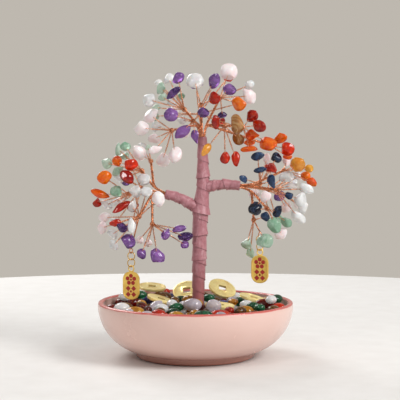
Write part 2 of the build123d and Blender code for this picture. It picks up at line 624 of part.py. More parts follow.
fixed_beads = []
for route, shares, radius in ((trunk_route, trunk_width_shares, trunk_tape_radius),
                              (left_limb, limb_width_shares, limb_tape_radius),
                              (right_limb, limb_width_shares, limb_tape_radius)):
    for first, last in zip(route, route[1:]):
        fixed_beads += beads(first, last, radius * max(shares))
for name, route in bough_routes.items():
    for first, last in zip(route, route[1:]):
        fixed_beads += beads(first, last, bough_radius)
    fixed_beads += [(tuple(knots[name]), knot_radius)]
for chain in chains.values():
    tag_foot = chain["tag_eye"] - Vector(0, 0, tag_eye_radius + tag_length)
    fixed_beads += beads(knots[chain["spray"]], chain["hanger_eye"], hanger_stem_diameter)
    fixed_beads += beads(chain["hanger_eye"], chain["tag_eye"], upper_ring_diameter * 0.8)
    fixed_beads += beads(chain["tag_eye"] - Vector(0, 0, tag_width / 2), tag_foot, tag_width * 0.75)

chips = []
for name, (region, _, rows) in spray_pixels_and_shares.items():
    for stone, column, row, length_share, width_share, tilt, depth_share in rows:
        long_half = max(length_share * chip_length, width_share * chip_width) / 2
        short_half = min(length_share * chip_length, width_share * chip_width) / 2
        if length_share * chip_length < width_share * chip_width:
            tilt += 90
        chips.append({"spray": name, "region": region, "stone": stone, "column": column, "row": row,
                      "long": long_half, "short": short_half, "thin": short_half * chip_thickness_share,
                      "tilt": math.radians(tilt), "depth_share": depth_share})

chip_count = len(chips)
shares_now = np.array([chip["depth_share"] for chip in chips])
shorts = np.array([chip["short"] for chip in chips])
stretch = np.array([[math.cos(c["tilt"]), 0, math.sin(c["tilt"])] for c in chips])
stretch *= np.array([[c["long"] - c["short"]] for c in chips])
chip_knots = np.array([tuple(knots[chip["spray"]]) for chip in chips])
fixed_places = np.array([place for place, _ in fixed_beads])
fixed_radii = np.array([radius for _, radius in fixed_beads])
twig_marks = np.linspace(0.1, 0.78, 16)
depth_stretch = 1.05


def settle_push(gap_places, want, own_depth_scale):
    # How far in depth the first bead has to move to clear the second, signed
    lateral = gap_places[..., 0] ** 2 + gap_places[..., 2] ** 2
    depth = gap_places[..., 1] * own_depth_scale
    need = np.sqrt(np.maximum(want ** 2 - lateral, 0)) - np.abs(depth)
    return np.where(need > 0, need * np.where(depth >= 0, 1, -1), 0) / own_depth_scale


for settle_round in range(260):
    places = np.array([tuple(photo_point(c["column"], c["row"], s)) for c, s in zip(chips, shares_now)])
    bodies = places[:, None, :] + np.array([-1, 0, 1])[None, :, None] * stretch[:, None, :]
    twigs = chip_knots[:, None, :] + (places - chip_knots)[:, None, :] * twig_marks[None, :, None]
    push = np.zeros(chip_count)
    apart = bodies[:, None, :, None, :] - bodies[None, :, None, :, :]
    want = (shorts[:, None] + shorts[None, :] + chip_spacing)[:, :, None, None]
    moves = settle_push(apart, want, depth_stretch)
    moves[np.arange(chip_count), np.arange(chip_count)] = 0
    best = moves.reshape(chip_count, chip_count, -1)
    pick = np.take_along_axis(best, np.abs(best).argmax(axis=2)[:, :, None], axis=2)[:, :, 0]
    push += 0.5 * pick.sum(axis=1)
    apart = bodies[:, None, :, None, :] - twigs[None, :, None, :, :]
    want = (shorts + 2 * wire_diameter + chip_spacing)[:, None, None, None]
    moves = settle_push(apart, want, 1)
    moves[np.arange(chip_count), np.arange(chip_count)] = 0
    best = moves.reshape(chip_count, chip_count, -1)
    pick = np.take_along_axis(best, np.abs(best).argmax(axis=2)[:, :, None], axis=2)[:, :, 0]
    push += 0.5 * pick.sum(axis=1) - 0.4 * pick.sum(axis=0)
    apart = bodies[:, :, None, :] - fixed_places[None, None, :, :]
    want = (shorts[:, None] + fixed_radii[None, :] + chip_spacing)[:, None, :]
    moves = settle_push(apart, want, 1).reshape(chip_count, -1)
    push += moves[np.arange(chip_count), np.abs(moves).argmax(axis=1)]
    if np.abs(push).max() < 0.01 * chip_spacing:
        break
    step = np.clip(0.5 * push, -chip_spacing * 4, chip_spacing * 4)
    shares_now = np.clip(shares_now + step / tree_half_depth, -1.1, 1.25)
print("depth settling rounds", settle_round + 1, "largest push left", round(float(np.abs(push).max()), 3))
for index in np.argsort(-np.abs(push))[:8]:
    chip = chips[index]
    print("  left over", chip["spray"], chip["stone"], chip["column"], chip["row"],
          round(float(push[index]), 2))

# Chip frames: the drilled axis crosses the chip and leans from the front until it stands square to its twig
for chip, depth_share in zip(chips, shares_now):
    centre = photo_point(chip["column"], chip["row"], float(depth_share))
    knot = knots[chip["spray"]]
    twig = (centre - knot).normalized()
    square = (forward - twig * forward.dot(twig)).normalized()
    lean_share = min(1, chip_lean / max(forward.get_angle(square), 1))
    thin_axis = (forward * (1 - lean_share) + square * lean_share).normalized()
    level = Vector(math.cos(chip["tilt"]), 0, math.sin(chip["tilt"]))
    long_axis = (level - thin_axis * level.dot(thin_axis)).normalized()
    frame = Plane(origin=centre, x_dir=long_axis, z_dir=thin_axis)
    run = (twig - thin_axis * twig.dot(thin_axis)).normalized()
    toward = Vector(-run.dot(frame.x_dir), -run.dot(frame.y_dir), 0)
    reach = 1 / math.hypot(toward.X / chip["long"], toward.Y / chip["short"])
    chip.update(centre=centre, run=run, frame=frame, toward=toward, reach=reach, knot=knot)


def drilled_chip(chip):
    with BuildPart() as stone:
        Sphere(1, rotation=(0, 0, 180 + math.degrees(math.atan2(chip["toward"].Y, chip["toward"].X))))
        scale(by=(chip["long"], chip["short"], chip["thin"]))
        bore = chip["toward"] * (chip["reach"] * drill_inset_share)
        with Locations((bore.X, bore.Y, 0)):
            Hole(drill_diameter / 2)
    return stone.part.moved(chip["frame"].location).solids()[0]


def twig_wire(chip):
    # One wire from the knot, round the near end of the chip, through its bore and back
    run, normal = chip["run"], chip["frame"].z_dir
    bore = chip["centre"] - run * (chip["reach"] * drill_inset_share)
    edge = chip["centre"] - run * chip["reach"]
    depth_at_bore = chip["thin"] * math.sqrt(1 - drill_inset_share ** 2)
    side = normal * (depth_at_bore + wire_radius + loop_gap)
    shoulder = normal * (0.55 * depth_at_bore + wire_radius + loop_gap)
    neck = edge - run * twig_neck
    shoulder_place = edge - run * (0.25 * loop_gap)
    aim = (neck - chip["knot"]).normalized()
    strand = (normal - aim * normal.dot(aim)).normalized() * strand_spread
    start = chip["knot"] + aim * (knot_radius + wire_gap)
    points = [start + strand, neck + strand, shoulder_place + shoulder, bore + side,
              bore - side, shoulder_place - shoulder, neck - strand, start - strand]
    radii = bend_radii(points, loop_gap)
    with BuildPart() as wire:
        with BuildLine() as route:
            FilletPolyline(*points, radius=radii)
        with BuildSketch(Plane(origin=route.line @ 0, z_dir=route.line % 0)):
            Circle(wire_radius)
        sweep()
    return wire.part.solids()[0]


for region in ("crown", "left", "right"):
    boughs = []
    for name, route in bough_routes.items():
        if spray_pixels_and_shares[name][0] != region:
            continue
        last_run = (route[-1] - route[-2]).normalized()
        bough_end = route[-1] - last_run * (knot_radius + wire_gap)
        boughs.append(tube(route[:-1] + [bough_end], bough_radius, bough_bend_radius).solids()[0])
        with BuildPart(Plane(origin=route[-1], z_dir=last_run)) as knot:
            Sphere(knot_radius)
        boughs.append(knot.part.solids()[0])
    finish(boughs, f"{region}_boughs")
    own = [chip for chip in chips if chip["region"] == region]
    finish([twig_wire(chip) for chip in own], f"{region}_twigs")
    for stone in dict.fromkeys(chip["stone"] for chip in own):
        finish([drilled_chip(chip) for chip in own if chip["stone"] == stone], f"{region}_{stone}_chips")


# Tags, rings and hangers
def turned_plane(place, turn):
    angle = math.radians(turn)
    return Plane(origin=place, x_dir=(math.cos(angle), math.sin(angle), 0),
                 z_dir=(math.sin(angle), -math.cos(angle), 0))


def motif(gap):
    # A blossom of five petals above a cluster of four lozenges, each round a small heart
    with BuildSketch() as sketch:
        with Locations((0, motif_spacing / 2)):
            with PolarLocations(petal_circle_diameter / 2, 5, start_angle=90):
                Circle(petal_diameter / 2 - gap)
        with Locations((0, -motif_spacing / 2)):
            with PolarLocations(lozenge_circle_diameter / 2, 4, start_angle=45):
                Rectangle(lozenge_side - 2 * gap, lozenge_side - 2 * gap)
        with Locations((0, motif_spacing / 2), (0, -motif_spacing / 2)):
            Circle(motif_heart_diameter / 2 - gap)
    return sketch.sketch


for side, chain in chains.items():
    for ring, turn in (("upper", upper_ring_turn), ("lower", lower_ring_turn)):
        with BuildPart(turned_plane(chain[f"{ring}_ring"], turn)) as jump_ring:
            Torus(ring_radii[ring], ring_wire_diameter / 2)
        finish([jump_ring.part.solids()[0]], f"{side}_{ring}_ring")
    stem_top = knots[chain["spray"]]
    stem_foot = chain["hanger_eye"] + Vector(0, 0, hanger_eye_radius)
    stem_run = (stem_foot - stem_top).normalized()
    with BuildPart(turned_plane(chain["hanger_eye"], hanger_turn)) as hanger_eye_ring:
        Torus(hanger_eye_radius, hanger_wire_diameter / 2)
    with BuildPart() as hanger:
        stem_start = stem_top + stem_run * (knot_radius + wire_gap)
        add(tube([stem_start, stem_foot], hanger_stem_diameter / 2, bough_lead))
        add(hanger_eye_ring.part)
    finish([hanger.part.solids()[0]], f"{side}_tag_hanger")
    tag_plane = turned_plane(chain["tag_eye"], tag_turn)
    tag_centre = -(tag_length / 2 + tag_eye_radius)
    front = tag_thickness / 2
    face_plane = Plane(origin=tag_plane.from_local_coords((0, tag_centre, front)),
                       x_dir=tag_plane.x_dir, z_dir=tag_plane.z_dir)
    with BuildPart() as tag:
        with BuildSketch(tag_plane):
            with Locations((0, tag_centre)):
                RectangleRounded(tag_width, tag_length, tag_corner_radius)
        extrude(amount=front, both=True)
        with BuildSketch(tag_plane):
            with Locations((0, tag_centre)):
                RectangleRounded(tag_width, tag_length, tag_corner_radius)
                RectangleRounded(tag_width - 2 * tag_border, tag_length - 2 * tag_border,
                                 tag_corner_radius - tag_border, mode=Mode.SUBTRACT)
        extrude(amount=front + tag_border_rise, both=True)
        with Locations(tag_plane):
            Torus(tag_eye_radius, tag_eye_wire_diameter / 2)
        with BuildSketch(face_plane):
            add(motif(0))
        extrude(amount=-enamel_depth, mode=Mode.SUBTRACT)
    finish([tag.part.solids().sort_by(SortBy.VOLUME)[-1]], f"{side}_tag")
    with BuildPart() as enamel:
        with BuildSketch(face_plane.offset(-enamel_depth + enamel_gap)):
            add(motif(enamel_gap))
        extrude(amount=enamel_depth - enamel_gap)
    finish(list(enamel.part.solids()), f"{side}_tag_enamel")
    for label, place, turn in (("upper ring", "hanger_foot", hanger_turn),
                               ("lower ring", "upper_foot", upper_ring_turn),
                               ("tag", "lower_foot", lower_ring_turn)):
        axis = (math.cos(math.radians(turn)), math.sin(math.radians(turn)), 0)
        print("hinge", side, label, [round(v, 4) for v in tuple(chain[place])], [round(v, 6) for v in axis])

# Pebble bed: stones and coins are let down one by one on to what lies below them
inner_radius = wall_reach(bowl_height, 0)
cells = np.arange(-inner_radius, inner_radius + bed_cell, bed_cell)
grid_x, grid_y = np.meshgrid(cells, cells, indexing="ij")
grid_r = np.hypot(grid_x, grid_y)
ceiling = 10 * bowl_height
inside = np.maximum((wall_radius - wall_gap) ** 2 - (grid_r - wall_x) ** 2, 0)
bed = np.where(grid_r > wall_x, wall_z - np.sqrt(inside), 0)
bed = np.where(grid_r - wall_x >= wall_radius - wall_gap, ceiling, bed)
bed = np.maximum(bed, fill_top)
trunk_low = trunk_route[0]
trunk_room = trunk_tape_radius * max(trunk_width_shares[:2]) + tape_lip + pebble_gap
bed = np.where(np.hypot(grid_x - trunk_low.X, grid_y - trunk_low.Y) < trunk_room, ceiling, bed)
bed_mound = mound_rise * (1 - (grid_r / inner_radius) ** 2)
left_tag_low = chains["left"]["tag_eye"] - Vector(0, 0, tag_eye_radius + tag_length)
swept = np.hypot(grid_x - left_tag_low.X, grid_y - left_tag_low.Y) < tag_swing_reach
shut = np.zeros(bed.shape, bool)
stones = []


def resting_height(lower, upper, covered):
    # Height at which a form comes to rest, or none where the trunk or the swinging tag is in the way
    height = float((bed[covered] - lower).max()) + pebble_gap
    reached = (height + upper)[swept[covered]]
    in_the_way = len(reached) and reached.max() > left_tag_low.Z - tag_swing_gap
    return None if in_the_way or height > bowl_height + mound_rise else height


def stone_span(across, depth, halves, axes):
    form = sum(np.outer(axis, axis) / (half + pebble_gap / 2) ** 2 for axis, half in zip(axes, halves))
    dx, dy = grid_x - across, grid_y - depth
    linear = form[0, 2] * dx + form[1, 2] * dy
    rest = form[0, 0] * dx ** 2 + 2 * form[0, 1] * dx * dy + form[1, 1] * dy ** 2 - 1
    under = linear ** 2 - form[2, 2] * rest
    covered = under > 0
    root = np.sqrt(under[covered])
    return (-linear[covered] - root) / form[2, 2], (-linear[covered] + root) / form[2, 2], covered


def let_down_stone(stone, across, depth, halves, turn, lean, roll):
    # The stone rolls to the lowest of the places within its roll, then rests there
    frame = Plane.XY.rotated((lean, 0, turn))
    axes = np.array([tuple(frame.x_dir), tuple(frame.y_dir), tuple(frame.z_dir)])
    best = None
    for aside, along_depth in [(i, j) for i in (0, -1, 1) for j in (0, -1, 1)] if roll else [(0, 0)]:
        x, y = across + aside * roll, depth + along_depth * roll
        away = math.hypot(x, y)
        wall_room = inner_radius - halves[0] - pebble_gap
        if away > wall_room:
            x, y = x * wall_room / away, y * wall_room / away
        lower, upper, covered = stone_span(x, y, halves, axes)
        height = resting_height(lower, upper, covered)
        if height is not None and (best is None or height < best[0]):
            best = (height, x, y, upper, covered)
    if best is None:
        return 0
    height, x, y, upper, covered = best
    bed[covered] = np.maximum(bed[covered], height + upper)
    stones.append((stone, Plane(origin=(x, y, height), x_dir=frame.x_dir, z_dir=frame.z_dir), halves))
    return height + float(upper.max())


scatter = random.Random(bed_seed)
for index in range(bed_stone_count):
    ring = math.sqrt((index + 0.5) / bed_stone_count) * inner_radius * bed_stone_share
    angle = index * math.pi * (3 - math.sqrt(5))
    size = scatter.uniform(0.72, 1.0)
    halves = (pebble_length * size / 2, pebble_width * size / 2, pebble_thickness * size / 2)
    across, depth = ring * math.cos(angle), ring * math.sin(angle)
    near_trunk = math.hypot(across - trunk_low.X, depth - trunk_low.Y)
    if near_trunk < trunk_room + halves[0]:
        continue
    let_down_stone(bed_stone_names[index * 5 % len(bed_stone_names)], across, depth, halves,
                   scatter.uniform(0, 180), scatter.uniform(-12, 12), 0)


def fill_low_places(count, first_name, smallest, largest):
    # A stone goes down at the lowest place under the mound each time, read from the bed's mean height near it
    span = 2 * int(low_place_reach / bed_cell) + 1
    for index in range(count):
        heights = np.where((bed > bowl_height + mound_rise) | shut, bowl_height, bed - bed_mound)
        heights = np.pad(heights, ((span, span), (span, span)), constant_values=bowl_height)
        sums = heights.cumsum(axis=0).cumsum(axis=1)
        boxes = sums[span:, span:] - sums[:-span, span:] - sums[span:, :-span] + sums[:-span, :-span]
        offset = span - span // 2 - 1
        mean = boxes[offset:offset + len(cells), offset:offset + len(cells)] / span ** 2
        place = np.unravel_index(np.argmin(mean), mean.shape)
        size = scatter.uniform(smallest, largest)
        halves = (pebble_length * size / 2, pebble_width * size / 2, pebble_thickness * size / 2)
        across, depth = float(cells[place[0]]), float(cells[place[1]])
        name = bed_stone_names[(first_name + index * 3) % len(bed_stone_names)]
        turn, lean = scatter.uniform(0, 180), scatter.uniform(-15, 15)
        if not let_down_stone(name, across, depth, halves, turn, lean, 0):
            shut[np.hypot(grid_x - across, grid_y - depth) < low_place_reach] = True


def coin_solid(frame):
    with BuildPart() as coin:
        with BuildSketch(frame):
            Circle(coin_diameter / 2)
            Rectangle(coin_hole, coin_hole, mode=Mode.SUBTRACT)
        extrude(amount=coin_thickness / 2, both=True)
        with BuildSketch(frame):
            Circle(coin_diameter / 2)
            Circle(coin_diameter / 2 - coin_border, mode=Mode.SUBTRACT)
            Rectangle(coin_hole + 2 * coin_border, coin_hole + 2 * coin_border)
            Rectangle(coin_hole, coin_hole, mode=Mode.SUBTRACT)
        extrude(amount=coin_thickness / 2 + coin_border_rise, both=True)
    return coin.part.solids()[0]


coins = []


def let_down_coins(table):
    for across_share, depth_share, roll, pitch in table:
        across, depth = across_share * inner_radius, depth_share * inner_radius
        frame = Plane(origin=(across, depth, 0)).rotated((pitch, roll, 0))
        normal = frame.z_dir
        dx, dy = grid_x - across, grid_y - depth
        level = -(normal.X * dx + normal.Y * dy) / normal.Z
        covered = dx ** 2 + dy ** 2 + level ** 2 < (coin_diameter / 2 + pebble_gap) ** 2
        half = (coin_thickness / 2 + coin_border_rise) / normal.Z
        height = float((bed[covered] - level[covered] + half).max()) + pebble_gap
        bed[covered] = np.maximum(bed[covered], height + level[covered] + half)
        coins.append(coin_solid(Plane(origin=(across, depth, height), x_dir=frame.x_dir, z_dir=normal)))
        print("coin", round(height, 1))


fill_low_places(filler_stone_count, 1, 0.7, 0.95)
let_down_coins(low_coin_shares_and_angles)
tops = []
for stone, across_share, depth_share, length, width, thick, turn, lean in upper_pebble_shares:
    halves = (pebble_length * length / 2, pebble_width * width / 2, pebble_thickness * thick / 2)
    tops.append(round(let_down_stone(stone, across_share * inner_radius, depth_share * inner_radius, halves,
                                     turn, lean, roll_reach), 1))
print("pebble tops", tops)
let_down_coins(top_coin_shares_and_angles)
fill_low_places(late_stone_count, 2, 0.6, 0.8)
finish(coins, "cash_coins")


def pebble_solid(frame, halves):
    with BuildPart() as pebble:
        Sphere(1)
        scale(by=halves)
    return pebble.part.moved(frame.location).solids()[0]


for name in dict.fromkeys(stone for stone, _, _ in stones):
    own = [(frame, halves) for stone, frame, halves in stones if stone == name]
    finish([pebble_solid(frame, halves) for frame, halves in own], f"{name}_pebbles")
print("chips", chip_count, "pebbles", len(stones))
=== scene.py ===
import math
import random

import bpy
import numpy as np
from mathutils import Matrix, Vector
from mathutils import noise as fieldNoise


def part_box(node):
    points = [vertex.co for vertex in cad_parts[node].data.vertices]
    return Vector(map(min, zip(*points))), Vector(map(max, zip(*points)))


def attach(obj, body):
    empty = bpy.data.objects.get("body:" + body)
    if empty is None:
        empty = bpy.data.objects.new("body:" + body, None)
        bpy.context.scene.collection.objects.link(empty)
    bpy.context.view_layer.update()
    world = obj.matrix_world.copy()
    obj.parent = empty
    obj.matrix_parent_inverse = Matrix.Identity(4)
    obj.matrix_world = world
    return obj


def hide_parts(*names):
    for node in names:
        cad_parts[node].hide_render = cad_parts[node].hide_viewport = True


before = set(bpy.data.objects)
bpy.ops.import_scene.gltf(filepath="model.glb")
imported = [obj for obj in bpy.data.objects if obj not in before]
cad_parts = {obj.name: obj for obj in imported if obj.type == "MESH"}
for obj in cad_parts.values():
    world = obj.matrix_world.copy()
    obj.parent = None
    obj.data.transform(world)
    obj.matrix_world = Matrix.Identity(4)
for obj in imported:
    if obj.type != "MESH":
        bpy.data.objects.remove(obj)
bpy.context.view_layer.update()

mm = 0.001
print("frame loaded:", len(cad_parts), "nodes")


def srgb(red, green, blue):
    tones = [v / 255 for v in (red, green, blue)]
    return tuple(t / 12.92 if t <= 0.04045 else ((t + 0.055) / 1.055) ** 2.4 for t in tones) + (1.0,)


def clearSelection():
    if bpy.context.object and bpy.context.object.mode != "OBJECT":
        bpy.ops.object.mode_set(mode="OBJECT")
    bpy.ops.object.select_all(action="DESELECT")


def pick(*objs):
    clearSelection()
    for obj in objs:
        obj.select_set(True)
    bpy.context.view_layer.objects.active = objs[0]


def applyModifier(obj, kind, **settings):
    pick(obj)
    bpy.ops.object.modifier_add(type=kind)
    modifier = obj.modifiers[-1]
    for name, value in settings.items():
        setattr(modifier, name, value)
    bpy.ops.object.modifier_apply(modifier=modifier.name)


def finishPiece(obj, name, body, slot, material, *nodes):
    obj.name = name
    obj.data.name = name
    obj.data.materials.clear()
    obj.data.materials.append(material)
    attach(obj, body)
    if nodes:
        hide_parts(*nodes)


def dressNode(node, material):
    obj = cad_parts[node]
    obj.data.materials.clear()
    obj.data.materials.append(material)


# Camera at the photograph's place, lights and floor
cameraView = {"place": (0.00276, -0.650, 0.121), "tiltDown": 2.24, "lens": 95.4}
studio = {
    "wall": srgb(190, 184, 175), "softLight": (1.0, 0.985, 0.97, 1.0), "softStrength": 0.45,
    "floor": srgb(238, 236, 233), "floorFleck": srgb(226, 223, 219), "floorRadius": 0.47,
    "floorRough": 0.9, "floorShine": 0.08, "aim": (0, 0, 0.09),
    # name: place, size, watts
    "lamps": {"keyRight": ((1.05, -0.78, 0.95), 0.72, 18.0), "frontLeft": ((-0.66, -1.05, 0.95), 0.22, 2.0),
              "backGlow": ((-0.42, 0.66, 0.66), 0.5, 4.0)},
}


def addCamera():
    clearSelection()
    bpy.ops.object.camera_add(location=cameraView["place"],
                              rotation=(math.radians(90 - cameraView["tiltDown"]), 0, 0))
    camera = bpy.context.object
    camera.name = "photoCamera"
    camera.data.lens = cameraView["lens"]
    camera.data.sensor_width = 36
    camera.data.clip_start = 0.01
    camera.data.clip_end = 20
    bpy.context.scene.camera = camera


def addLamps():
    for name, (place, size, watts) in studio["lamps"].items():
        clearSelection()
        aim = Vector(studio["aim"]) - Vector(place)
        facing = aim.to_track_quat("-Z", "Y").to_euler()
        bpy.ops.object.light_add(type="AREA", location=place, rotation=facing)
        lamp = bpy.context.object
        lamp.name = name
        lamp.data.shape = "DISK"
        lamp.data.size = size
        lamp.data.energy = watts


def addWorld():
    world = bpy.data.worlds.new("studioRoom")
    bpy.context.scene.world = world
    world.use_nodes = True
    tree = world.node_tree
    tree.nodes.clear()
    output = tree.nodes.new("ShaderNodeOutputWorld")
    mix = tree.nodes.new("ShaderNodeMixShader")
    soft = tree.nodes.new("ShaderNodeBackground")
    wall = tree.nodes.new("ShaderNodeBackground")
    rays = tree.nodes.new("ShaderNodeLightPath")
    seen = tree.nodes.new("ShaderNodeMath")
    through = tree.nodes.new("ShaderNodeMath")
    soft.inputs["Color"].default_value = studio["softLight"]
    soft.inputs["Strength"].default_value = studio["softStrength"]
    wall.inputs["Color"].default_value = studio["wall"]
    seen.operation = through.operation = "MAXIMUM"
    tree.links.new(rays.outputs["Is Camera Ray"], seen.inputs[0])
    tree.links.new(rays.outputs["Is Glossy Ray"], seen.inputs[1])
    tree.links.new(seen.outputs[0], through.inputs[0])
    tree.links.new(rays.outputs["Is Transmission Ray"], through.inputs[1])
    tree.links.new(through.outputs[0], mix.inputs[0])
    tree.links.new(soft.outputs[0], mix.inputs[1])
    tree.links.new(wall.outputs[0], mix.inputs[2])
    tree.links.new(mix.outputs[0], output.inputs["Surface"])


bpy.context.scene.view_settings.view_transform = "Standard"
addCamera()
addLamps()
addWorld()
print("camera, lamps and room placed")


# Shader helpers and the effects that several finishes share
def addNode(tree, kind, values=None, **settings):
    node = tree.nodes.new("ShaderNode" + kind)
    for name, value in settings.items():
        setattr(node, name, value)
    for socket, value in (values or {}).items():
        node.inputs[socket].default_value = value
    return node


def link(tree, source, target):
    tree.links.new(source, target)


def newGroup(name, inputs, outputs):
    group = bpy.data.node_groups.new(name, "ShaderNodeTree")
    for label, kind, value in inputs:
        socket = group.interface.new_socket(label, in_out="INPUT", socket_type="NodeSocket" + kind)
        if value is not None:
            socket.default_value = value
    for label, kind in outputs:
        group.interface.new_socket(label, in_out="OUTPUT", socket_type="NodeSocket" + kind)
    return group, group.nodes.new("NodeGroupInput"), group.nodes.new("NodeGroupOutput")


def makeStoneGroup():
    # Cloudy body colour, thin healed cracks and parallel bands; each stone's seed shifts the pattern
    group, start, end = newGroup("stoneBody", [
        ("Vector", "Vector", None), ("Seed", "Vector", None), ("Light", "Color", (1, 1, 1, 1)),
        ("Deep", "Color", (0.5, 0.5, 0.5, 1)), ("Crack", "Color", (1, 1, 1, 1)), ("Scale", "Float", 200.0),
        ("Cracks", "Float", 0.3), ("Bands", "Float", 0.0), ("Spread", "Float", 0.5),
    ], [("Color", "Color"), ("Height", "Float"), ("Roughness", "Float")])
    shift = addNode(group, "VectorMath", {1: (0.7, 0.9, 1.3)}, operation="MULTIPLY_ADD")
    link(group, start.outputs["Seed"], shift.inputs[0])
    link(group, start.outputs["Vector"], shift.inputs[2])
    cloud = addNode(group, "TexNoise", {"Detail": 3.0, "Roughness": 0.55, "Distortion": 0.7})
    link(group, shift.outputs[0], cloud.inputs["Vector"])
    link(group, start.outputs["Scale"], cloud.inputs["Scale"])
    soft = addNode(group, "MapRange", {"From Min": 0.3, "From Max": 0.7})
    link(group, cloud.outputs["Fac"], soft.inputs["Value"])
    part = addNode(group, "SeparateXYZ")
    link(group, start.outputs["Seed"], part.inputs[0])
    lean = addNode(group, "Math", {1: 0.5}, operation="SUBTRACT")
    link(group, part.outputs["X"], lean.inputs[0])
    spread = addNode(group, "Math", operation="MULTIPLY")
    link(group, lean.outputs[0], spread.inputs[0])
    link(group, start.outputs["Spread"], spread.inputs[1])
    tone = addNode(group, "Math", operation="ADD", use_clamp=True)
    link(group, soft.outputs[0], tone.inputs[0])
    link(group, spread.outputs[0], tone.inputs[1])
    body = addNode(group, "Mix", data_type="RGBA")
    link(group, tone.outputs[0], body.inputs["Factor"])
    link(group, start.outputs["Deep"], body.inputs["A"])
    link(group, start.outputs["Light"], body.inputs["B"])
    wave = addNode(group, "TexWave", {"Distortion": 5.0, "Detail": 2.0, "Detail Scale": 1.6},
                   bands_direction="DIAGONAL")
    link(group, shift.outputs[0], wave.inputs["Vector"])
    link(group, start.outputs["Scale"], wave.inputs["Scale"])
    bandMask = addNode(group, "Math", operation="MULTIPLY")
    link(group, wave.outputs["Fac"], bandMask.inputs[0])
    link(group, start.outputs["Bands"], bandMask.inputs[1])
    banded = addNode(group, "Mix", data_type="RGBA")
    link(group, bandMask.outputs[0], banded.inputs["Factor"])
    link(group, body.outputs["Result"], banded.inputs["A"])
    link(group, start.outputs["Deep"], banded.inputs["B"])
    flaw = addNode(group, "TexNoise", {"Detail": 2.0, "Roughness": 0.5, "Distortion": 1.4})
    link(group, shift.outputs[0], flaw.inputs["Vector"])
    link(group, start.outputs["Scale"], flaw.inputs["Scale"])
    off = addNode(group, "Math", {1: 0.5}, operation="SUBTRACT")
    link(group, flaw.outputs["Fac"], off.inputs[0])
    away = addNode(group, "Math", operation="ABSOLUTE")
    link(group, off.outputs[0], away.inputs[0])
    thin = addNode(group, "MapRange", {"From Min": 0.0, "From Max": 0.03, "To Min": 1.0, "To Max": 0.0})
    link(group, away.outputs[0], thin.inputs["Value"])
    crackMask = addNode(group, "Math", operation="MULTIPLY")
    link(group, thin.outputs[0], crackMask.inputs[0])
    link(group, start.outputs["Cracks"], crackMask.inputs[1])
    cracked = addNode(group, "Mix", data_type="RGBA")
    link(group, crackMask.outputs[0], cracked.inputs["Factor"])
    link(group, banded.outputs["Result"], cracked.inputs["A"])
    link(group, start.outputs["Crack"], cracked.inputs["B"])
    polish = addNode(group, "MapRange", {"To Min": 0.03, "To Max": 0.12})
    link(group, cloud.outputs["Fac"], polish.inputs["Value"])
    link(group, cracked.outputs["Result"], end.inputs["Color"])
    link(group, cloud.outputs["Fac"], end.inputs["Height"])
    link(group, polish.outputs[0], end.inputs["Roughness"])
    return group


def makeMetalGroup():
    # Tarnish patches and fine rub marks for copper, brass and gilt
    group, start, end = newGroup("metalWear", [
        ("Vector", "Vector", None), ("Bright", "Color", (1, 0.8, 0.4, 1)),
        ("Tarnish", "Color", (0.4, 0.2, 0.1, 1)), ("Patch Scale", "Float", 300.0), ("Amount", "Float", 0.5),
        ("Smooth", "Float", 0.18), ("Rough", "Float", 0.42),
    ], [("Color", "Color"), ("Roughness", "Float"), ("Height", "Float")])
    patch = addNode(group, "TexNoise", {"Detail": 4.0, "Roughness": 0.6})
    link(group, start.outputs["Vector"], patch.inputs["Vector"])
    link(group, start.outputs["Patch Scale"], patch.inputs["Scale"])
    mask = addNode(group, "MapRange", {"From Min": 0.42, "From Max": 0.68})
    link(group, patch.outputs["Fac"], mask.inputs["Value"])
    amount = addNode(group, "Math", operation="MULTIPLY")
    link(group, mask.outputs[0], amount.inputs[0])
    link(group, start.outputs["Amount"], amount.inputs[1])
    colour = addNode(group, "Mix", data_type="RGBA")
    link(group, amount.outputs[0], colour.inputs["Factor"])
    link(group, start.outputs["Bright"], colour.inputs["A"])
    link(group, start.outputs["Tarnish"], colour.inputs["B"])
    rough = addNode(group, "MapRange")
    link(group, patch.outputs["Fac"], rough.inputs["Value"])
    link(group, start.outputs["Smooth"], rough.inputs["To Min"])
    link(group, start.outputs["Rough"], rough.inputs["To Max"])
    rub = addNode(group, "TexNoise", {"Scale": 2400.0, "Detail": 2.0})
    link(group, start.outputs["Vector"], rub.inputs["Vector"])
    link(group, colour.outputs["Result"], end.inputs["Color"])
    link(group, rough.outputs[0], end.inputs["Roughness"])
    link(group, rub.outputs["Fac"], end.inputs["Height"])
    return group


stoneGroup = makeStoneGroup()
metalGroup = makeMetalGroup()


def newMaterial(name):
    material = bpy.data.materials.new(name)
    material.use_nodes = True
    tree = material.node_tree
    tree.nodes.clear()
    output = tree.nodes.new("ShaderNodeOutputMaterial")
    shader = tree.nodes.new("ShaderNodeBsdfPrincipled")
    place = tree.nodes.new("ShaderNodeTexCoord")
    link(tree, shader.outputs[0], output.inputs["Surface"])
    return material, tree, shader, place


def bumpInto(tree, shader, height, strength, distance):
    bump = addNode(tree, "Bump", {"Strength": strength, "Distance": distance})
    link(tree, height, bump.inputs["Height"])
    link(tree, bump.outputs[0], shader.inputs["Normal"])


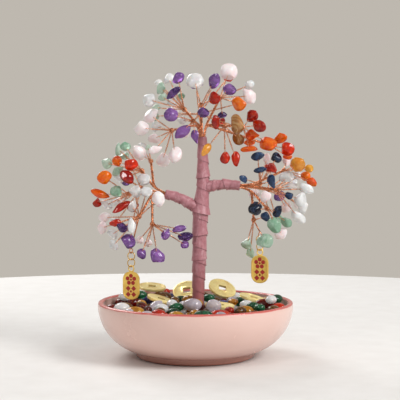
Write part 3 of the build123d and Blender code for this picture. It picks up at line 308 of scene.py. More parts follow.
# name: body light and deep, crack colour, clearness, inner glow, cracks, bands, spread between stones
stoneFinishes = {
    "amethyst": (srgb(166, 114, 196), srgb(62, 18, 100), srgb(212, 188, 230), 0.56, 0.12, 0.35, 0.15, 1.2),
    "rose_quartz": (srgb(254, 245, 244), srgb(249, 224, 226), srgb(255, 252, 251), 0.12, 0.42, 0.4, 0.0, 0.6),
    "clear_quartz": (srgb(254, 254, 253), srgb(230, 231, 231), srgb(255, 255, 255), 0.34, 0.3, 0.8, 0.0, 0.5),
    "aventurine": (srgb(220, 238, 223), srgb(146, 188, 160), srgb(232, 243, 232), 0.36, 0.3, 0.25, 0.1, 1.1),
    "carnelian": (srgb(238, 50, 0), srgb(160, 4, 0), srgb(250, 120, 30), 0.42, 0.22, 0.25, 0.15, 1.0),
    "orange_carnelian": (srgb(255, 136, 2), srgb(230, 70, 0), srgb(255, 184, 70), 0.36, 0.22, 0.25, 0.2, 0.9),
    "citrine": (srgb(254, 196, 80), srgb(230, 138, 18), srgb(254, 220, 140), 0.44, 0.25, 0.25, 0.1, 0.8),
    "sodalite": (srgb(40, 66, 104), srgb(8, 14, 30), srgb(96, 122, 156), 0.05, 0.05, 0.3, 0.0, 1.0),
    "agate": (srgb(204, 166, 112), srgb(156, 84, 8), srgb(226, 206, 172), 0.25, 0.3, 0.15, 0.75, 0.7),
    "white_agate": (srgb(228, 221, 228), srgb(186, 176, 188), srgb(244, 240, 246), 0.42, 0.3, 0.2, 0.2, 0.7),
    "green_agate": (srgb(36, 122, 80), srgb(4, 50, 30), srgb(104, 170, 136), 0.4, 0.1, 0.2, 0.3, 1.0),
    "amber_agate": (srgb(236, 172, 46), srgb(160, 94, 12), srgb(246, 208, 120), 0.44, 0.2, 0.2, 0.4, 0.9),
    "tiger_eye": (srgb(134, 88, 38), srgb(52, 26, 8), srgb(190, 142, 74), 0.12, 0.1, 0.2, 0.8, 0.9),
    "garnet": (srgb(138, 18, 12), srgb(50, 1, 2), srgb(180, 56, 38), 0.36, 0.1, 0.15, 0.1, 0.8),
    "lapis": (srgb(84, 80, 160), srgb(30, 26, 78), srgb(146, 140, 196), 0.12, 0.12, 0.25, 0.1, 0.8),
}
# what all stones share: pattern scale, polish waves, refraction, inner glow's tint and reach in metres
stoneLook = {
    "scale": 190.0, "wave": 0.07, "waveDepth": 0.0006, "ior": 1.54, "specular": 0.36,
    "glowTint": (1.0, 0.8, 0.7), "glowReach": 0.003,
}


def makeStone(stone):
    light, deep, crack, clearness, glow, cracks, bands, spread = stoneFinishes[stone]
    material, tree, shader, place = newMaterial(stone + "Stone")
    seed = addNode(tree, "Attribute", attribute_name="stoneSeed")
    body = addNode(tree, "Group", node_tree=stoneGroup)
    for label, value in (("Light", light), ("Deep", deep), ("Crack", crack), ("Scale", stoneLook["scale"]),
                         ("Cracks", cracks), ("Bands", bands), ("Spread", spread)):
        body.inputs[label].default_value = value
    link(tree, place.outputs["Object"], body.inputs["Vector"])
    link(tree, seed.outputs["Vector"], body.inputs["Seed"])
    link(tree, body.outputs["Color"], shader.inputs["Base Color"])
    link(tree, body.outputs["Roughness"], shader.inputs["Roughness"])
    bumpInto(tree, shader, body.outputs["Height"], stoneLook["wave"], stoneLook["waveDepth"])
    shader.inputs["IOR"].default_value = stoneLook["ior"]
    shader.inputs["Specular IOR Level"].default_value = stoneLook["specular"]
    shader.inputs["Transmission Weight"].default_value = clearness
    shader.inputs["Subsurface Weight"].default_value = glow
    shader.inputs["Subsurface Radius"].default_value = stoneLook["glowTint"]
    shader.inputs["Subsurface Scale"].default_value = stoneLook["glowReach"]
    return material


# name: bright, tarnish, patch scale, amount, smooth, rough, share of bare metal
metalFinishes = {
    "copper": (srgb(236, 166, 124), srgb(142, 76, 46), 420.0, 0.8, 0.18, 0.4, 1.0),
    "bundle": (srgb(196, 120, 82), srgb(110, 60, 36), 300.0, 0.7, 0.35, 0.6, 1.0),
    "brass": (srgb(255, 238, 166), srgb(224, 184, 104), 210.0, 0.6, 0.2, 0.44, 0.45),
    "giltRing": (srgb(236, 196, 116), srgb(150, 106, 48), 500.0, 0.5, 0.16, 0.35, 1.0),
    "giltTag": (srgb(250, 214, 112), srgb(222, 168, 64), 260.0, 0.5, 0.22, 0.42, 0.6),
}


def makeMetal(name):
    bright, tarnish, patch, amount, smooth, rough, bare = metalFinishes[name]
    material, tree, shader, place = newMaterial(name + "Metal")
    wear = addNode(tree, "Group", node_tree=metalGroup)
    for label, value in (("Bright", bright), ("Tarnish", tarnish), ("Patch Scale", patch), ("Amount", amount),
                         ("Smooth", smooth), ("Rough", rough)):
        wear.inputs[label].default_value = value
    link(tree, place.outputs["Object"], wear.inputs["Vector"])
    link(tree, wear.outputs["Color"], shader.inputs["Base Color"])
    link(tree, wear.outputs["Roughness"], shader.inputs["Roughness"])
    bumpInto(tree, shader, wear.outputs["Height"], 0.1, 0.0001)
    shader.inputs["Metallic"].default_value = bare
    return material


stoneMaterials = {stone: makeStone(stone) for stone in stoneFinishes}
metalMaterials = {name: makeMetal(name) for name in metalFinishes}
print("stone and metal finishes mixed:", len(stoneMaterials) + len(metalMaterials))


# Floor
def makeFloor():
    clearSelection()
    bpy.ops.mesh.primitive_circle_add(vertices=128, radius=studio["floorRadius"], fill_type="NGON",
                                      location=(0, 0, -0.0003))
    floor = bpy.context.object
    floor.name = "studioFloor"
    bpy.ops.object.transform_apply(location=True, rotation=True, scale=True)
    material, tree, shader, place = newMaterial("paleFloor")
    fleck = addNode(tree, "TexNoise", {"Scale": 60.0, "Detail": 4.0})
    mix = addNode(tree, "Mix", {"A": studio["floor"], "B": studio["floorFleck"]}, data_type="RGBA")
    link(tree, place.outputs["Object"], fleck.inputs["Vector"])
    link(tree, fleck.outputs["Fac"], mix.inputs["Factor"])
    link(tree, mix.outputs["Result"], shader.inputs["Base Color"])
    shader.inputs["Roughness"].default_value = studio["floorRough"]
    shader.inputs["Specular IOR Level"].default_value = studio["floorShine"]
    floor.data.materials.append(material)


makeFloor()


# Bowl: the section is spun round the axis, sizes in mm
bowlShape = {
    "rimRadius": 60.0, "height": 33.5, "wall": 3.2, "rimRound": 1.3, "lipIn": 0.16, "lipShare": 0.97,
    "belly": (52.0, 12.1), "foot": (36.5, 3.2), "footChamfer": 0.25,
    "footRing": 5.0, "recess": 1.1, "footRound": 0.8, "floorTop": 5.1, "steps": 144,
    # the colour that darkens the lower body is painted shade near the foot
    "outside": srgb(232, 200, 190), "deep": srgb(224, 186, 174), "shadowGlaze": srgb(168, 106, 88),
    "rimLine": srgb(198, 88, 82), "rimFade": srgb(218, 134, 124), "rimLineHeight": 0.95,
    # the foot ring's colour is bare clay darkened with painted contact shade
    "clay": srgb(150, 94, 78),
}


def arcThrough(first, middle, last, count):
    (ax, ay), (bx, by), (cx, cy) = first, middle, last
    turn = 2 * (ax * (by - cy) + bx * (cy - ay) + cx * (ay - by))
    aa, bb, cc = ax * ax + ay * ay, bx * bx + by * by, cx * cx + cy * cy
    ux = (aa * (by - cy) + bb * (cy - ay) + cc * (ay - by)) / turn
    uy = (aa * (cx - bx) + bb * (ax - cx) + cc * (bx - ax)) / turn
    reach = math.hypot(ax - ux, ay - uy)
    begin, stop = math.atan2(ay - uy, ax - ux), math.atan2(cy - uy, cx - ux)
    marks = [begin + (stop - begin) * i / count for i in range(count + 1)]
    return [(ux + reach * math.cos(m), uy + reach * math.sin(m)) for m in marks]


def bowlSection():
    b = bowlShape
    inner = b["rimRadius"] - b["wall"]
    outside = arcThrough(b["foot"], b["belly"], (b["rimRadius"], b["height"]), 30)
    innerFoot = (b["foot"][0] - b["wall"], b["floorTop"])
    innerBelly = (b["belly"][0] - 0.75 * b["wall"], b["belly"][1] + 0.66 * b["wall"])
    inside = arcThrough((inner, b["height"]), innerBelly, innerFoot, 26)
    rim = b["height"] - b["rimRound"]
    outside = [p for p in outside if p[1] < rim - 0.1]
    inside = [p for p in inside if p[1] < rim - 0.1]
    lip = []
    middle = b["rimRadius"] - b["wall"] / 2
    half = b["wall"] / 2
    for i in range(11):  # rounded lip between the two walls
        turn = math.pi * i / 10
        out = middle - b["lipIn"] + half * b["lipShare"] * math.cos(turn)
        lip.append((out, rim + b["rimRound"] * math.sin(turn) ** 0.75))
    ringIn = b["foot"][0] - b["footRing"]
    r = b["footRound"]
    chamfer = b["footChamfer"]
    foot = [(0, b["recess"]), (ringIn, b["recess"]), (ringIn, chamfer), (ringIn + chamfer, 0),
            (b["foot"][0] - r, 0)]
    foot += [(b["foot"][0] - r + r * math.sin(t), r - r * math.cos(t)) for t in (0.4, 0.8, 1.2, 1.5708)]
    return foot + outside + lip + inside + [(0, b["floorTop"])]


def makeBowl():
    section = [(x * mm, 0, z * mm) for x, z in bowlSection()]
    mesh = bpy.data.meshes.new("bowlSection")
    mesh.from_pydata(section, [(i, i + 1) for i in range(len(section) - 1)], [])
    bowl = bpy.data.objects.new("glazedBowl", mesh)
    bpy.context.scene.collection.objects.link(bowl)
    pick(bowl)
    bpy.ops.object.mode_set(mode="EDIT")
    bpy.ops.mesh.select_all(action="SELECT")
    bpy.ops.mesh.spin(steps=bowlShape["steps"], angle=2 * math.pi, center=(0, 0, 0), axis=(0, 0, 1))
    bpy.ops.mesh.select_all(action="SELECT")
    bpy.ops.mesh.remove_doubles(threshold=0.00002)
    bpy.ops.mesh.normals_make_consistent(inside=False)
    bpy.ops.object.mode_set(mode="OBJECT")
    bpy.ops.object.shade_smooth_by_angle(angle=math.radians(40))
    material, tree, shader, place = newMaterial("pinkGlaze")
    axes = addNode(tree, "SeparateXYZ")
    link(tree, place.outputs["Object"], axes.inputs[0])
    cloud = addNode(tree, "TexNoise", {"Scale": 38.0, "Detail": 4.0, "Roughness": 0.6})
    link(tree, place.outputs["Object"], cloud.inputs["Vector"])
    body = addNode(tree, "Mix", {"A": bowlShape["outside"], "B": bowlShape["deep"]}, data_type="RGBA")
    link(tree, cloud.outputs["Fac"], body.inputs["Factor"])
    # painted shade: the glaze colour darkens towards the foot, where the underside turns away from the light
    run = addNode(tree, "MapRange", {"From Min": 0.002, "From Max": 0.011, "To Min": 0.85, "To Max": 0.0})
    link(tree, axes.outputs["Z"], run.inputs["Value"])
    footShaded = addNode(tree, "Mix", {"B": bowlShape["shadowGlaze"]}, data_type="RGBA")
    link(tree, run.outputs[0], footShaded.inputs["Factor"])
    link(tree, body.outputs["Result"], footShaded.inputs["A"])
    # bare clay shows at the foot ring, darkened further as painted contact shade where it meets the floor,
    # and the rim carries a brushed line with a soft lower edge
    low = addNode(tree, "MapRange", {"From Min": 0.0002, "From Max": 0.0011, "To Min": 1.0, "To Max": 0.0})
    link(tree, axes.outputs["Z"], low.inputs["Value"])
    clay = addNode(tree, "Mix", {"B": bowlShape["clay"]}, data_type="RGBA")
    link(tree, low.outputs[0], clay.inputs["Factor"])
    link(tree, footShaded.outputs["Result"], clay.inputs["A"])
    brush = addNode(tree, "TexNoise", {"Scale": 90.0, "Detail": 2.0})
    link(tree, place.outputs["Object"], brush.inputs["Vector"])
    wander = addNode(tree, "Math", {1: 0.0012, 2: -0.0006}, operation="MULTIPLY_ADD")
    link(tree, brush.outputs["Fac"], wander.inputs[0])
    height = addNode(tree, "Math", operation="ADD")
    link(tree, axes.outputs["Z"], height.inputs[0])
    link(tree, wander.outputs[0], height.inputs[1])
    top = bowlShape["height"] * mm
    edge = top - bowlShape["rimLineHeight"] * mm
    line = addNode(tree, "MapRange", {"From Min": edge - 0.0003, "From Max": edge + 0.0003})
    link(tree, height.outputs[0], line.inputs["Value"])
    tone = addNode(tree, "Mix", {"A": bowlShape["rimLine"], "B": bowlShape["rimFade"]}, data_type="RGBA")
    patch = addNode(tree, "MapRange", {"From Min": 0.5, "From Max": 0.8, "To Max": 0.7})
    link(tree, brush.outputs["Fac"], patch.inputs["Value"])
    link(tree, patch.outputs[0], tone.inputs["Factor"])
    painted = addNode(tree, "Mix", data_type="RGBA")
    link(tree, line.outputs[0], painted.inputs["Factor"])
    link(tree, clay.outputs["Result"], painted.inputs["A"])
    link(tree, tone.outputs["Result"], painted.inputs["B"])
    link(tree, painted.outputs["Result"], shader.inputs["Base Color"])
    gloss = addNode(tree, "MapRange", {"To Min": 0.22, "To Max": 0.3})
    link(tree, cloud.outputs["Fac"], gloss.inputs["Value"])
    link(tree, gloss.outputs[0], shader.inputs["Roughness"])
    dimple = addNode(tree, "TexNoise", {"Scale": 260.0, "Detail": 2.0})
    link(tree, place.outputs["Object"], dimple.inputs["Vector"])
    bumpInto(tree, shader, dimple.outputs["Fac"], 0.05, 0.0003)
    shader.inputs["Coat Weight"].default_value = 0.35
    shader.inputs["Coat Roughness"].default_value = 0.08
    finishPiece(bowl, "glazedBowl", "tree", "pink_glaze", material, "bowl")


makeBowl()
print("bowl spun and glazed")


# Solids of a CAD node as groups of points, and the ellipsoid that a group lies on
def solidPoints(node):
    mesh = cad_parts[node].data
    spots = np.empty(len(mesh.vertices) * 3)
    mesh.vertices.foreach_get("co", spots)
    mesh.calc_loop_triangles()
    corners = np.empty(len(mesh.loop_triangles) * 3, np.int64)
    mesh.loop_triangles.foreach_get("vertices", corners)
    spots, home = np.unique(np.round(spots.reshape(-1, 3), 7), axis=0, return_inverse=True)
    corners = home.ravel()[corners].reshape(-1, 3)
    label = np.arange(len(spots))
    while True:
        lowest = label[corners].min(axis=1)
        joined = label.copy()
        np.minimum.at(joined, corners.ravel(), np.repeat(lowest, 3))
        joined = joined[joined]
        if (joined == label).all():
            break
        label = joined
    return [spots[label == first] for first in np.unique(label)]


def fitEllipsoid(points):
    middle = points.mean(axis=0)
    x, y, z = ((points - middle) * 1000).T
    columns = np.stack([x * x, y * y, z * z, 2 * x * y, 2 * x * z, 2 * y * z, 2 * x, 2 * y, 2 * z], axis=1)
    v = np.linalg.lstsq(columns, np.ones(len(points)), rcond=None)[0]
    form = np.array([[v[0], v[3], v[4]], [v[3], v[1], v[5]], [v[4], v[5], v[2]]])
    shift = -np.linalg.solve(form, v[6:9])
    form = form / (1 + shift @ form @ shift)
    weights, axes = np.linalg.eigh(form)
    axes = axes.T
    axes[2] = np.cross(axes[0], axes[1])
    return middle + shift / 1000, axes, 1 / np.sqrt(np.maximum(weights, 1e-6)) / 1000


# Tumbled stone forms: flats cut on a rough ball, a clean ball wrapped on to it, eased, tapered and swelled
chipForms = {"count": 18, "flats": (6, 9), "depth": (0.46, 0.76), "easing": 1, "taper": 0.6, "swell": 1.04}
pebbleForms = {"count": 8, "flats": (2, 4), "depth": (0.80, 0.93), "easing": 4, "taper": 0.15, "swell": 1.03}


def makeForms(settings, seed):
    chance = random.Random(seed)
    forms = []
    for _ in range(settings["count"]):
        clearSelection()
        bpy.ops.mesh.primitive_ico_sphere_add(subdivisions=4, radius=1.0)
        rough = bpy.context.object
        bpy.ops.object.mode_set(mode="EDIT")
        for _ in range(chance.randint(*settings["flats"])):
            turn = chance.uniform(0, 2 * math.pi)
            rise = chance.uniform(-0.7, 0.7)
            facing = Vector((math.cos(turn), math.sin(turn), rise)).normalized()
            bpy.ops.mesh.select_all(action="SELECT")
            bpy.ops.mesh.bisect(plane_co=facing * chance.uniform(*settings["depth"]), plane_no=facing,
                                use_fill=True, clear_outer=True)
        bpy.ops.object.mode_set(mode="OBJECT")
        clearSelection()
        bpy.ops.mesh.primitive_ico_sphere_add(subdivisions=3, radius=1.0)
        form = bpy.context.object
        applyModifier(form, "SHRINKWRAP", target=rough, wrap_method="NEAREST_SURFACEPOINT")
        applyModifier(form, "SMOOTH", factor=0.5, iterations=settings["easing"])
        applyModifier(form, "SIMPLE_DEFORM", deform_method="TAPER", deform_axis="X",
                      factor=chance.uniform(-settings["taper"], settings["taper"]))
        spots = np.array([v.co for v in form.data.vertices])
        low, high = spots.min(axis=0), spots.max(axis=0)
        spots = (spots - (low + high) / 2) * 2 * settings["swell"] / (high - low)
        spots /= np.maximum(np.linalg.norm(spots, axis=1), 1)[:, None]  # nothing stands out of the unit ball
        form.data.vertices.foreach_set("co", spots.ravel())
        pick(form)
        bpy.ops.object.shade_smooth()
        forms.append(form)
        bpy.data.objects.remove(rough)
    return forms


def layStones(node, name, slot, forms, material, chance):
    fits = [fitEllipsoid(points) for points in solidPoints(node)]
    copies = []
    for centre, axes, halves in fits:
        form = chance.choice(forms)
        mesh = form.data.copy()
        turn = Matrix([(axis * half).tolist() for axis, half in zip(axes, halves)])
        spin = Matrix.Rotation(chance.choice((0, math.pi)), 4, "Z")
        spin = spin @ Matrix.Rotation(chance.choice((0, math.pi)), 4, "X")
        mesh.transform(Matrix.Translation(centre.tolist()) @ turn.transposed().to_4x4() @ spin)
        seed = mesh.attributes.new("stoneSeed", "FLOAT_VECTOR", "POINT")
        values = [chance.random(), chance.random(), chance.random()] * len(mesh.vertices)
        seed.data.foreach_set("vector", values)
        copy = bpy.data.objects.new(node, mesh)
        bpy.context.scene.collection.objects.link(copy)
        copies.append(copy)
    pick(*copies)
    if len(copies) > 1:
        bpy.ops.object.join()
    finishPiece(bpy.context.object, name, "tree", slot, material, node)
    return fits


regions = ("crown", "left", "right")
chance = random.Random(5)
forms = makeForms(chipForms, 21)
chipFits = {region: [] for region in regions}
for node in sorted(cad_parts):
    if node.endswith("_chips"):
        region, stone = node[:-6].split("_", 1)
        chipFits[region] += layStones(node, region + stone.title().replace("_", "") + "Chips", stone, forms,
                                      stoneMaterials[stone], chance)
for form in forms:
    bpy.data.objects.remove(form)
print("chips laid:", sum(len(fits) for fits in chipFits.values()))

forms = makeForms(pebbleForms, 34)
pebbleCount = 0
for node in sorted(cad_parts):
    if node.endswith("_pebbles"):
        stone = node[:-8]
        pebbleCount += len(layStones(node, stone.title().replace("_", "") + "Pebbles", stone, forms,
                                     stoneMaterials[stone], chance))
for form in forms:
    bpy.data.objects.remove(form)
print("pebbles laid:", pebbleCount)


# Copper wire: boughs of twisted strands, wound knots and twisted twigs, sizes in mm
copperWork = {
    "strand": 0.2, "twist": 0.3, "pitch": 3.0, "neck": 1.3, "drillShare": 0.62, "hug": 0.12,
    "boughStrand": 0.31, "boughTwist": 0.56, "boughStrands": 3, "boughPitch": 5.2,
    "knotRadius": 1.8, "knotStrand": 0.24, "knotTurns": 4.5,
    "coilReach": 0.8, "coilTuck": 0.92, "step": 0.75, "rootSink": 2.0, "leadShare": 0.45, "elbowShare": 0.2,
    "startGap": 0.75, "lead": 7.0, "back": 5.0, "boughRadius": 0.95, "cornerShare": 0.45,
}
# limb tip, the point before it, and the wire bundle's radius, in mm
limbTips = {
    "crown": ((4.11, 0, 134.21), (4.6, 0, 117.05), 2.3),
    "left": ((-18.62, -2.4, 99.35), (-9.47, -1.8, 97.01), 1.7),
    "right": ((27.21, -1.8, 104.22), (18.05, -1.5, 105.44), 1.7),
}


def unit(v):
    return v / np.linalg.norm(v)


def addWire(curve, points):
    spline = curve.splines.new("POLY")
    spline.points.add(len(points) - 1)
    for spot, point in zip(points, spline.points):
        point.co = (*spot, 1.0)


def newCurve(name, radius, sides):
    curve = bpy.data.curves.new(name, "CURVE")
    curve.dimensions = "3D"
    curve.bevel_depth = radius
    curve.bevel_resolution = sides
    curve.use_fill_caps = True
    obj = bpy.data.objects.new(name, curve)
    bpy.context.scene.collection.objects.link(obj)
    return obj, curve


def boughLine(region, knot):
    tip, before, coreRadius = (np.array(v) * mm if i < 2 else v * mm for i, v in enumerate(limbTips[region]))
    heading = unit(tip - before)
    aim = knot - tip
    sideways = unit(aim - heading * (aim @ heading))
    c = {key: value * mm for key, value in copperWork.items()}
    start = tip + heading * c["startGap"] + sideways * max(coreRadius - c["boughRadius"], 0)
    lead = min(c["lead"], copperWork["leadShare"] * np.linalg.norm(aim))
    elbow = start + heading * lead + sideways * copperWork["elbowShare"] * lead + np.array((0, c["back"], 0))
    room = copperWork["cornerShare"] * min(np.linalg.norm(elbow - start), np.linalg.norm(knot - elbow))
    early, late = elbow + unit(start - elbow) * room, elbow + unit(knot - elbow) * room
    line = [start - heading * c["rootSink"]]
    line += [start + (early - start) * t for t in np.linspace(0, 0.9, 4)]
    line += [early * (1 - t) ** 2 + elbow * 2 * t * (1 - t) + late * t * t for t in np.linspace(0, 1, 12)]
    line += [late + (knot - late) * t for t in np.linspace(0.06, 1, 22)]
    return np.array(line)


def evenSteps(line, step):
    runs = np.linalg.norm(np.diff(line, axis=0), axis=1)
    marks = np.concatenate([[0], runs.cumsum()])
    count = max(4, int(marks[-1] / step))
    spots = np.linspace(0, marks[-1], count)
    return np.stack([np.interp(spots, marks, line[:, k]) for k in range(3)], axis=1), spots


def twistStrand(line, marks, radius, pitch, phase):
    ahead = np.gradient(line, axis=0)
    side = None
    spots = []
    for place, run, mark in zip(line, ahead, marks):
        run = unit(run)
        if side is None:
            side = unit(np.cross(run, (0.3, 0.9, 0.2)))
        side = unit(side - run * (side @ run))  # carried along without a twist of its own
        turn = phase + 2 * math.pi * mark / pitch
        spots.append(place + radius * (math.cos(turn) * side + math.sin(turn) * np.cross(run, side)))
    return spots


def makeBoughs(region):
    c = copperWork
    knots = []
    for points in solidPoints(region + "_boughs"):
        centre = (points.min(axis=0) + points.max(axis=0)) / 2
        spread = np.linalg.norm(points - centre, axis=1)
        if spread.max() < 1.02 * c["knotRadius"] * mm and spread.min() > 0.98 * c["knotRadius"] * mm:
            knots.append(centre)
    rope, ropeCurve = newCurve(region + "Boughs", c["boughStrand"] * mm, 1)
    wound, woundCurve = newCurve(region + "Knots", c["knotStrand"] * mm, 1)
    for knot in knots:
        line, marks = evenSteps(boughLine(region, knot), c["step"] * mm)
        for strand in range(c["boughStrands"]):
            addWire(ropeCurve, twistStrand(line, marks, c["boughTwist"] * mm, c["boughPitch"] * mm,
                                           2 * math.pi * strand / c["boughStrands"]))
        addWire(ropeCurve, list(line))
        run = unit(line[-1] - line[-6])
        side = unit(np.cross(run, (0.2, 0.3, 0.9)))
        turns = np.linspace(-1, 1, int(c["knotTurns"] * 12))
        reach = (c["knotRadius"] - c["knotStrand"]) * mm
        coil = []
        for t in turns:
            turn = t * math.pi * c["knotTurns"]
            wide = reach * math.sqrt(1 - (c["coilReach"] * t) ** 2)
            across = side * math.cos(turn) + np.cross(run, side) * math.sin(turn)
            coil.append(knot + run * (c["coilReach"] * t * reach) + across * wide * c["coilTuck"])
        addWire(woundCurve, coil)
    pick(rope, wound)
    bpy.ops.object.convert(target="MESH")
    pick(rope, wound)
    bpy.ops.object.join()
    bpy.ops.object.shade_smooth()
    finishPiece(rope, region + "CopperBoughs", "tree", "copper_wire", metalMaterials["copper"],
                region + "_boughs")
    return knots


def makeTwigs(region, knots):
    c = copperWork
    twigs, curve = newCurve(region + "Twigs", c["strand"] * mm, 0)
    for points in solidPoints(region + "_twigs"):
        knot = min(knots, key=lambda k: np.linalg.norm(points - k, axis=1).min())
        # the chip whose bore this twig runs through
        depths = [np.linalg.norm((points - centre) @ axes.T / halves, axis=1).min()
                  for centre, axes, halves in chipFits[region]]
        centre, axes, halves = chipFits[region][int(np.argmin(depths))]
        thin = axes[2]
        run = unit((centre - knot) - thin * ((centre - knot) @ thin))
        reach = 1 / np.linalg.norm(axes @ run / halves)
        neck = centre - run * (reach + c["neck"] * mm)
        aim = unit(neck - knot)
        start = knot + aim * 0.4 * c["knotRadius"] * mm
        length = np.linalg.norm(neck - start)
        rise = unit(thin - aim * (thin @ aim))
        across = np.cross(aim, rise)
        marks = np.linspace(0, length, max(6, int(length / (c["pitch"] * mm / 8))))
        strands = []
        for phase in (0, math.pi):
            turns = phase + 2 * math.pi * (marks - length) / (c["pitch"] * mm)
            strands.append([start + aim * m + c["twist"] * mm * (math.cos(t) * rise + math.sin(t) * across)
                            for m, t in zip(marks, turns)])
        depth = halves[2] * math.sqrt(1 - c["drillShare"] ** 2)
        bore = centre - run * reach * c["drillShare"]
        edge = centre - run * reach
        side = thin * (depth + (c["strand"] + c["hug"]) * mm)
        shoulder = thin * (0.5 * depth + (c["strand"] + c["hug"]) * mm)
        loop = [edge + shoulder, bore + side - run * 0.25 * mm, bore + side * 0.93, bore, bore - side * 0.93,
                bore - side - run * 0.25 * mm, edge - shoulder]
        addWire(curve, strands[0] + loop + strands[1][::-1])
    pick(twigs)
    bpy.ops.object.convert(target="MESH")
    bpy.ops.object.shade_smooth()
    finishPiece(twigs, region + "CopperTwigs", "tree", "copper_wire", metalMaterials["copper"],
                region + "_twigs")


for region in regions:
    makeTwigs(region, makeBoughs(region))
print("copper boughs, knots and twigs twisted")


# Paper tape wound up the trunk and out along the limbs, sizes in mm
tapeWork = {
    # cuffs: low and high mark along the route, flare of the low edge, and how far that edge slants
    "trunk": {
        "route": ((1.53, 0, 9.2), (1.53, 0, 36.14), (2.15, 0, 52.69), (2.51, 0, 68.01), (2.76, 0, 79.66),
                  (3.13, 0, 89.46), (4.72, 0, 102.95), (4.6, 0, 117.05), (4.11, 0, 134.21)),
        "widths": (0.86, 0.86, 0.97, 1.02, 1.05, 1.16, 0.93, 0.84, 0.68),
        "radius": 4.3, "pitch": 9.2, "turnsUp": 1,
        "cuffs": ((78.4, 88.0, 1.25, 0.7), (100.4, 110.0, 0.7, -0.9), (49.8, 60.0, 0.5, -0.8),
                  (64.9, 73.5, 0.55, -1.0)),
    },
    "left_limb": {
        "route": ((3.13, 0, 89.46), (-2.75, -0.9, 92.87), (-9.47, -1.8, 97.01), (-18.62, -2.4, 99.35)),
        "widths": (1.12, 1.06, 1.0, 0.9), "radius": 3.2, "pitch": 7.0, "turnsUp": -1,
        "cuffs": ((8.4, 15.0, 0.5, 0.9), (17.0, 22.0, 0.3, -0.8)),
    },
    "right_limb": {
        "route": ((4.72, 0, 102.95), (10.1, -0.9, 104.44), (18.05, -1.5, 105.44), (27.21, -1.8, 104.22)),
        "widths": (1.12, 1.06, 1.0, 0.9), "radius": 3.2, "pitch": 7.0, "turnsUp": 1,
        "cuffs": ((6.2, 11.0, 0.3, 0.8), (13.4, 20.4, 0.5, -1.4)),
    },
    "lap": 3.0, "lip": 0.55, "thickness": 0.14, "stepsRound": 36, "stepsAcross": 10,
    "crease": 0.16, "sink": 0.35, "cuffLift": 0.4,
    # the darkest colour on the next line is painted shade under each overlapping tape edge
    "paper": srgb(186, 129, 137), "shade": srgb(158, 98, 105), "seam": srgb(104, 48, 50),
    # the low colour and its span are painted shade towards the foot of the trunk
    "fleck": srgb(224, 184, 188), "soiled": srgb(146, 78, 80), "soiledFrom": 34.0, "soiledTo": 62.0,
}


def tapeRoute(part):
    corners = np.array(tapeWork[part]["route"]) * mm
    # eased corners: the route's points pull a quadratic line
    line = [corners[0]]
    for before, corner, after in zip(corners, corners[1:], corners[2:]):
        early, late = (before + corner) / 2, (corner + after) / 2
        line += [early * (1 - s) ** 2 + corner * 2 * s * (1 - s) + late * s * s for s in np.linspace(0, 1, 9)]
    line.append(corners[-1])
    line, marks = evenSteps(np.array(line), 0.5 * mm)
    legs = np.concatenate([[0], np.linalg.norm(np.diff(corners, axis=0), axis=1).cumsum()])
    return line, marks, legs * marks[-1] / legs[-1]


def tapeSpot(part, way, mark, turn, lift):
    line, marks, legs = way
    mark = min(max(mark, 0.0), marks[-1])
    here, ahead, behind = (np.array([np.interp(m, marks, line[:, k]) for k in range(3)])
                           for m in (mark, min(mark + mm, marks[-1]), max(mark - mm, 0)))
    run = unit(ahead - behind)
    side = unit(np.cross(run, (0, 1, 0)))
    width = np.interp(mark, legs, tapeWork[part]["widths"]) * tapeWork[part]["radius"] * mm
    crease = fieldNoise.noise(Vector((math.cos(turn) * 1.1, math.sin(turn) * 1.1, mark / mm * 0.55)))
    fold = fieldNoise.noise(Vector((math.cos(turn) * 2.6 + 7, math.sin(turn) * 2.6, mark / mm * 0.18)))
    reach = width + lift + (tapeWork["crease"] * (crease + 0.6 * fold) - tapeWork["sink"]) * mm
    return here + reach * (math.cos(turn) * side + math.sin(turn) * np.cross(side, run))


def paperStrip(stepsRound, stepsAcross, rule):
    clearSelection()
    bpy.ops.mesh.primitive_grid_add(x_subdivisions=stepsRound, y_subdivisions=stepsAcross, size=2)
    strip = bpy.context.object
    grid = np.empty(len(strip.data.vertices) * 3)
    strip.data.vertices.foreach_get("co", grid)
    shares = (grid.reshape(-1, 3) + 1) / 2
    spots = np.array([rule(along, across) for along, across, _ in shares])
    strip.data.vertices.foreach_set("co", spots.ravel())
    edge = strip.data.attributes.new("lapEdge", "FLOAT", "POINT")
    edge.data.foreach_set("value", 1 - shares[:, 1])
    strip.data.update()
    pick(strip)
    bpy.ops.object.mode_set(mode="EDIT")
    bpy.ops.mesh.select_all(action="SELECT")
    bpy.ops.mesh.normals_make_consistent(inside=False)
    bpy.ops.object.mode_set(mode="OBJECT")
    applyModifier(strip, "SOLIDIFY", thickness=tapeWork["thickness"] * mm, offset=-1)
    return strip


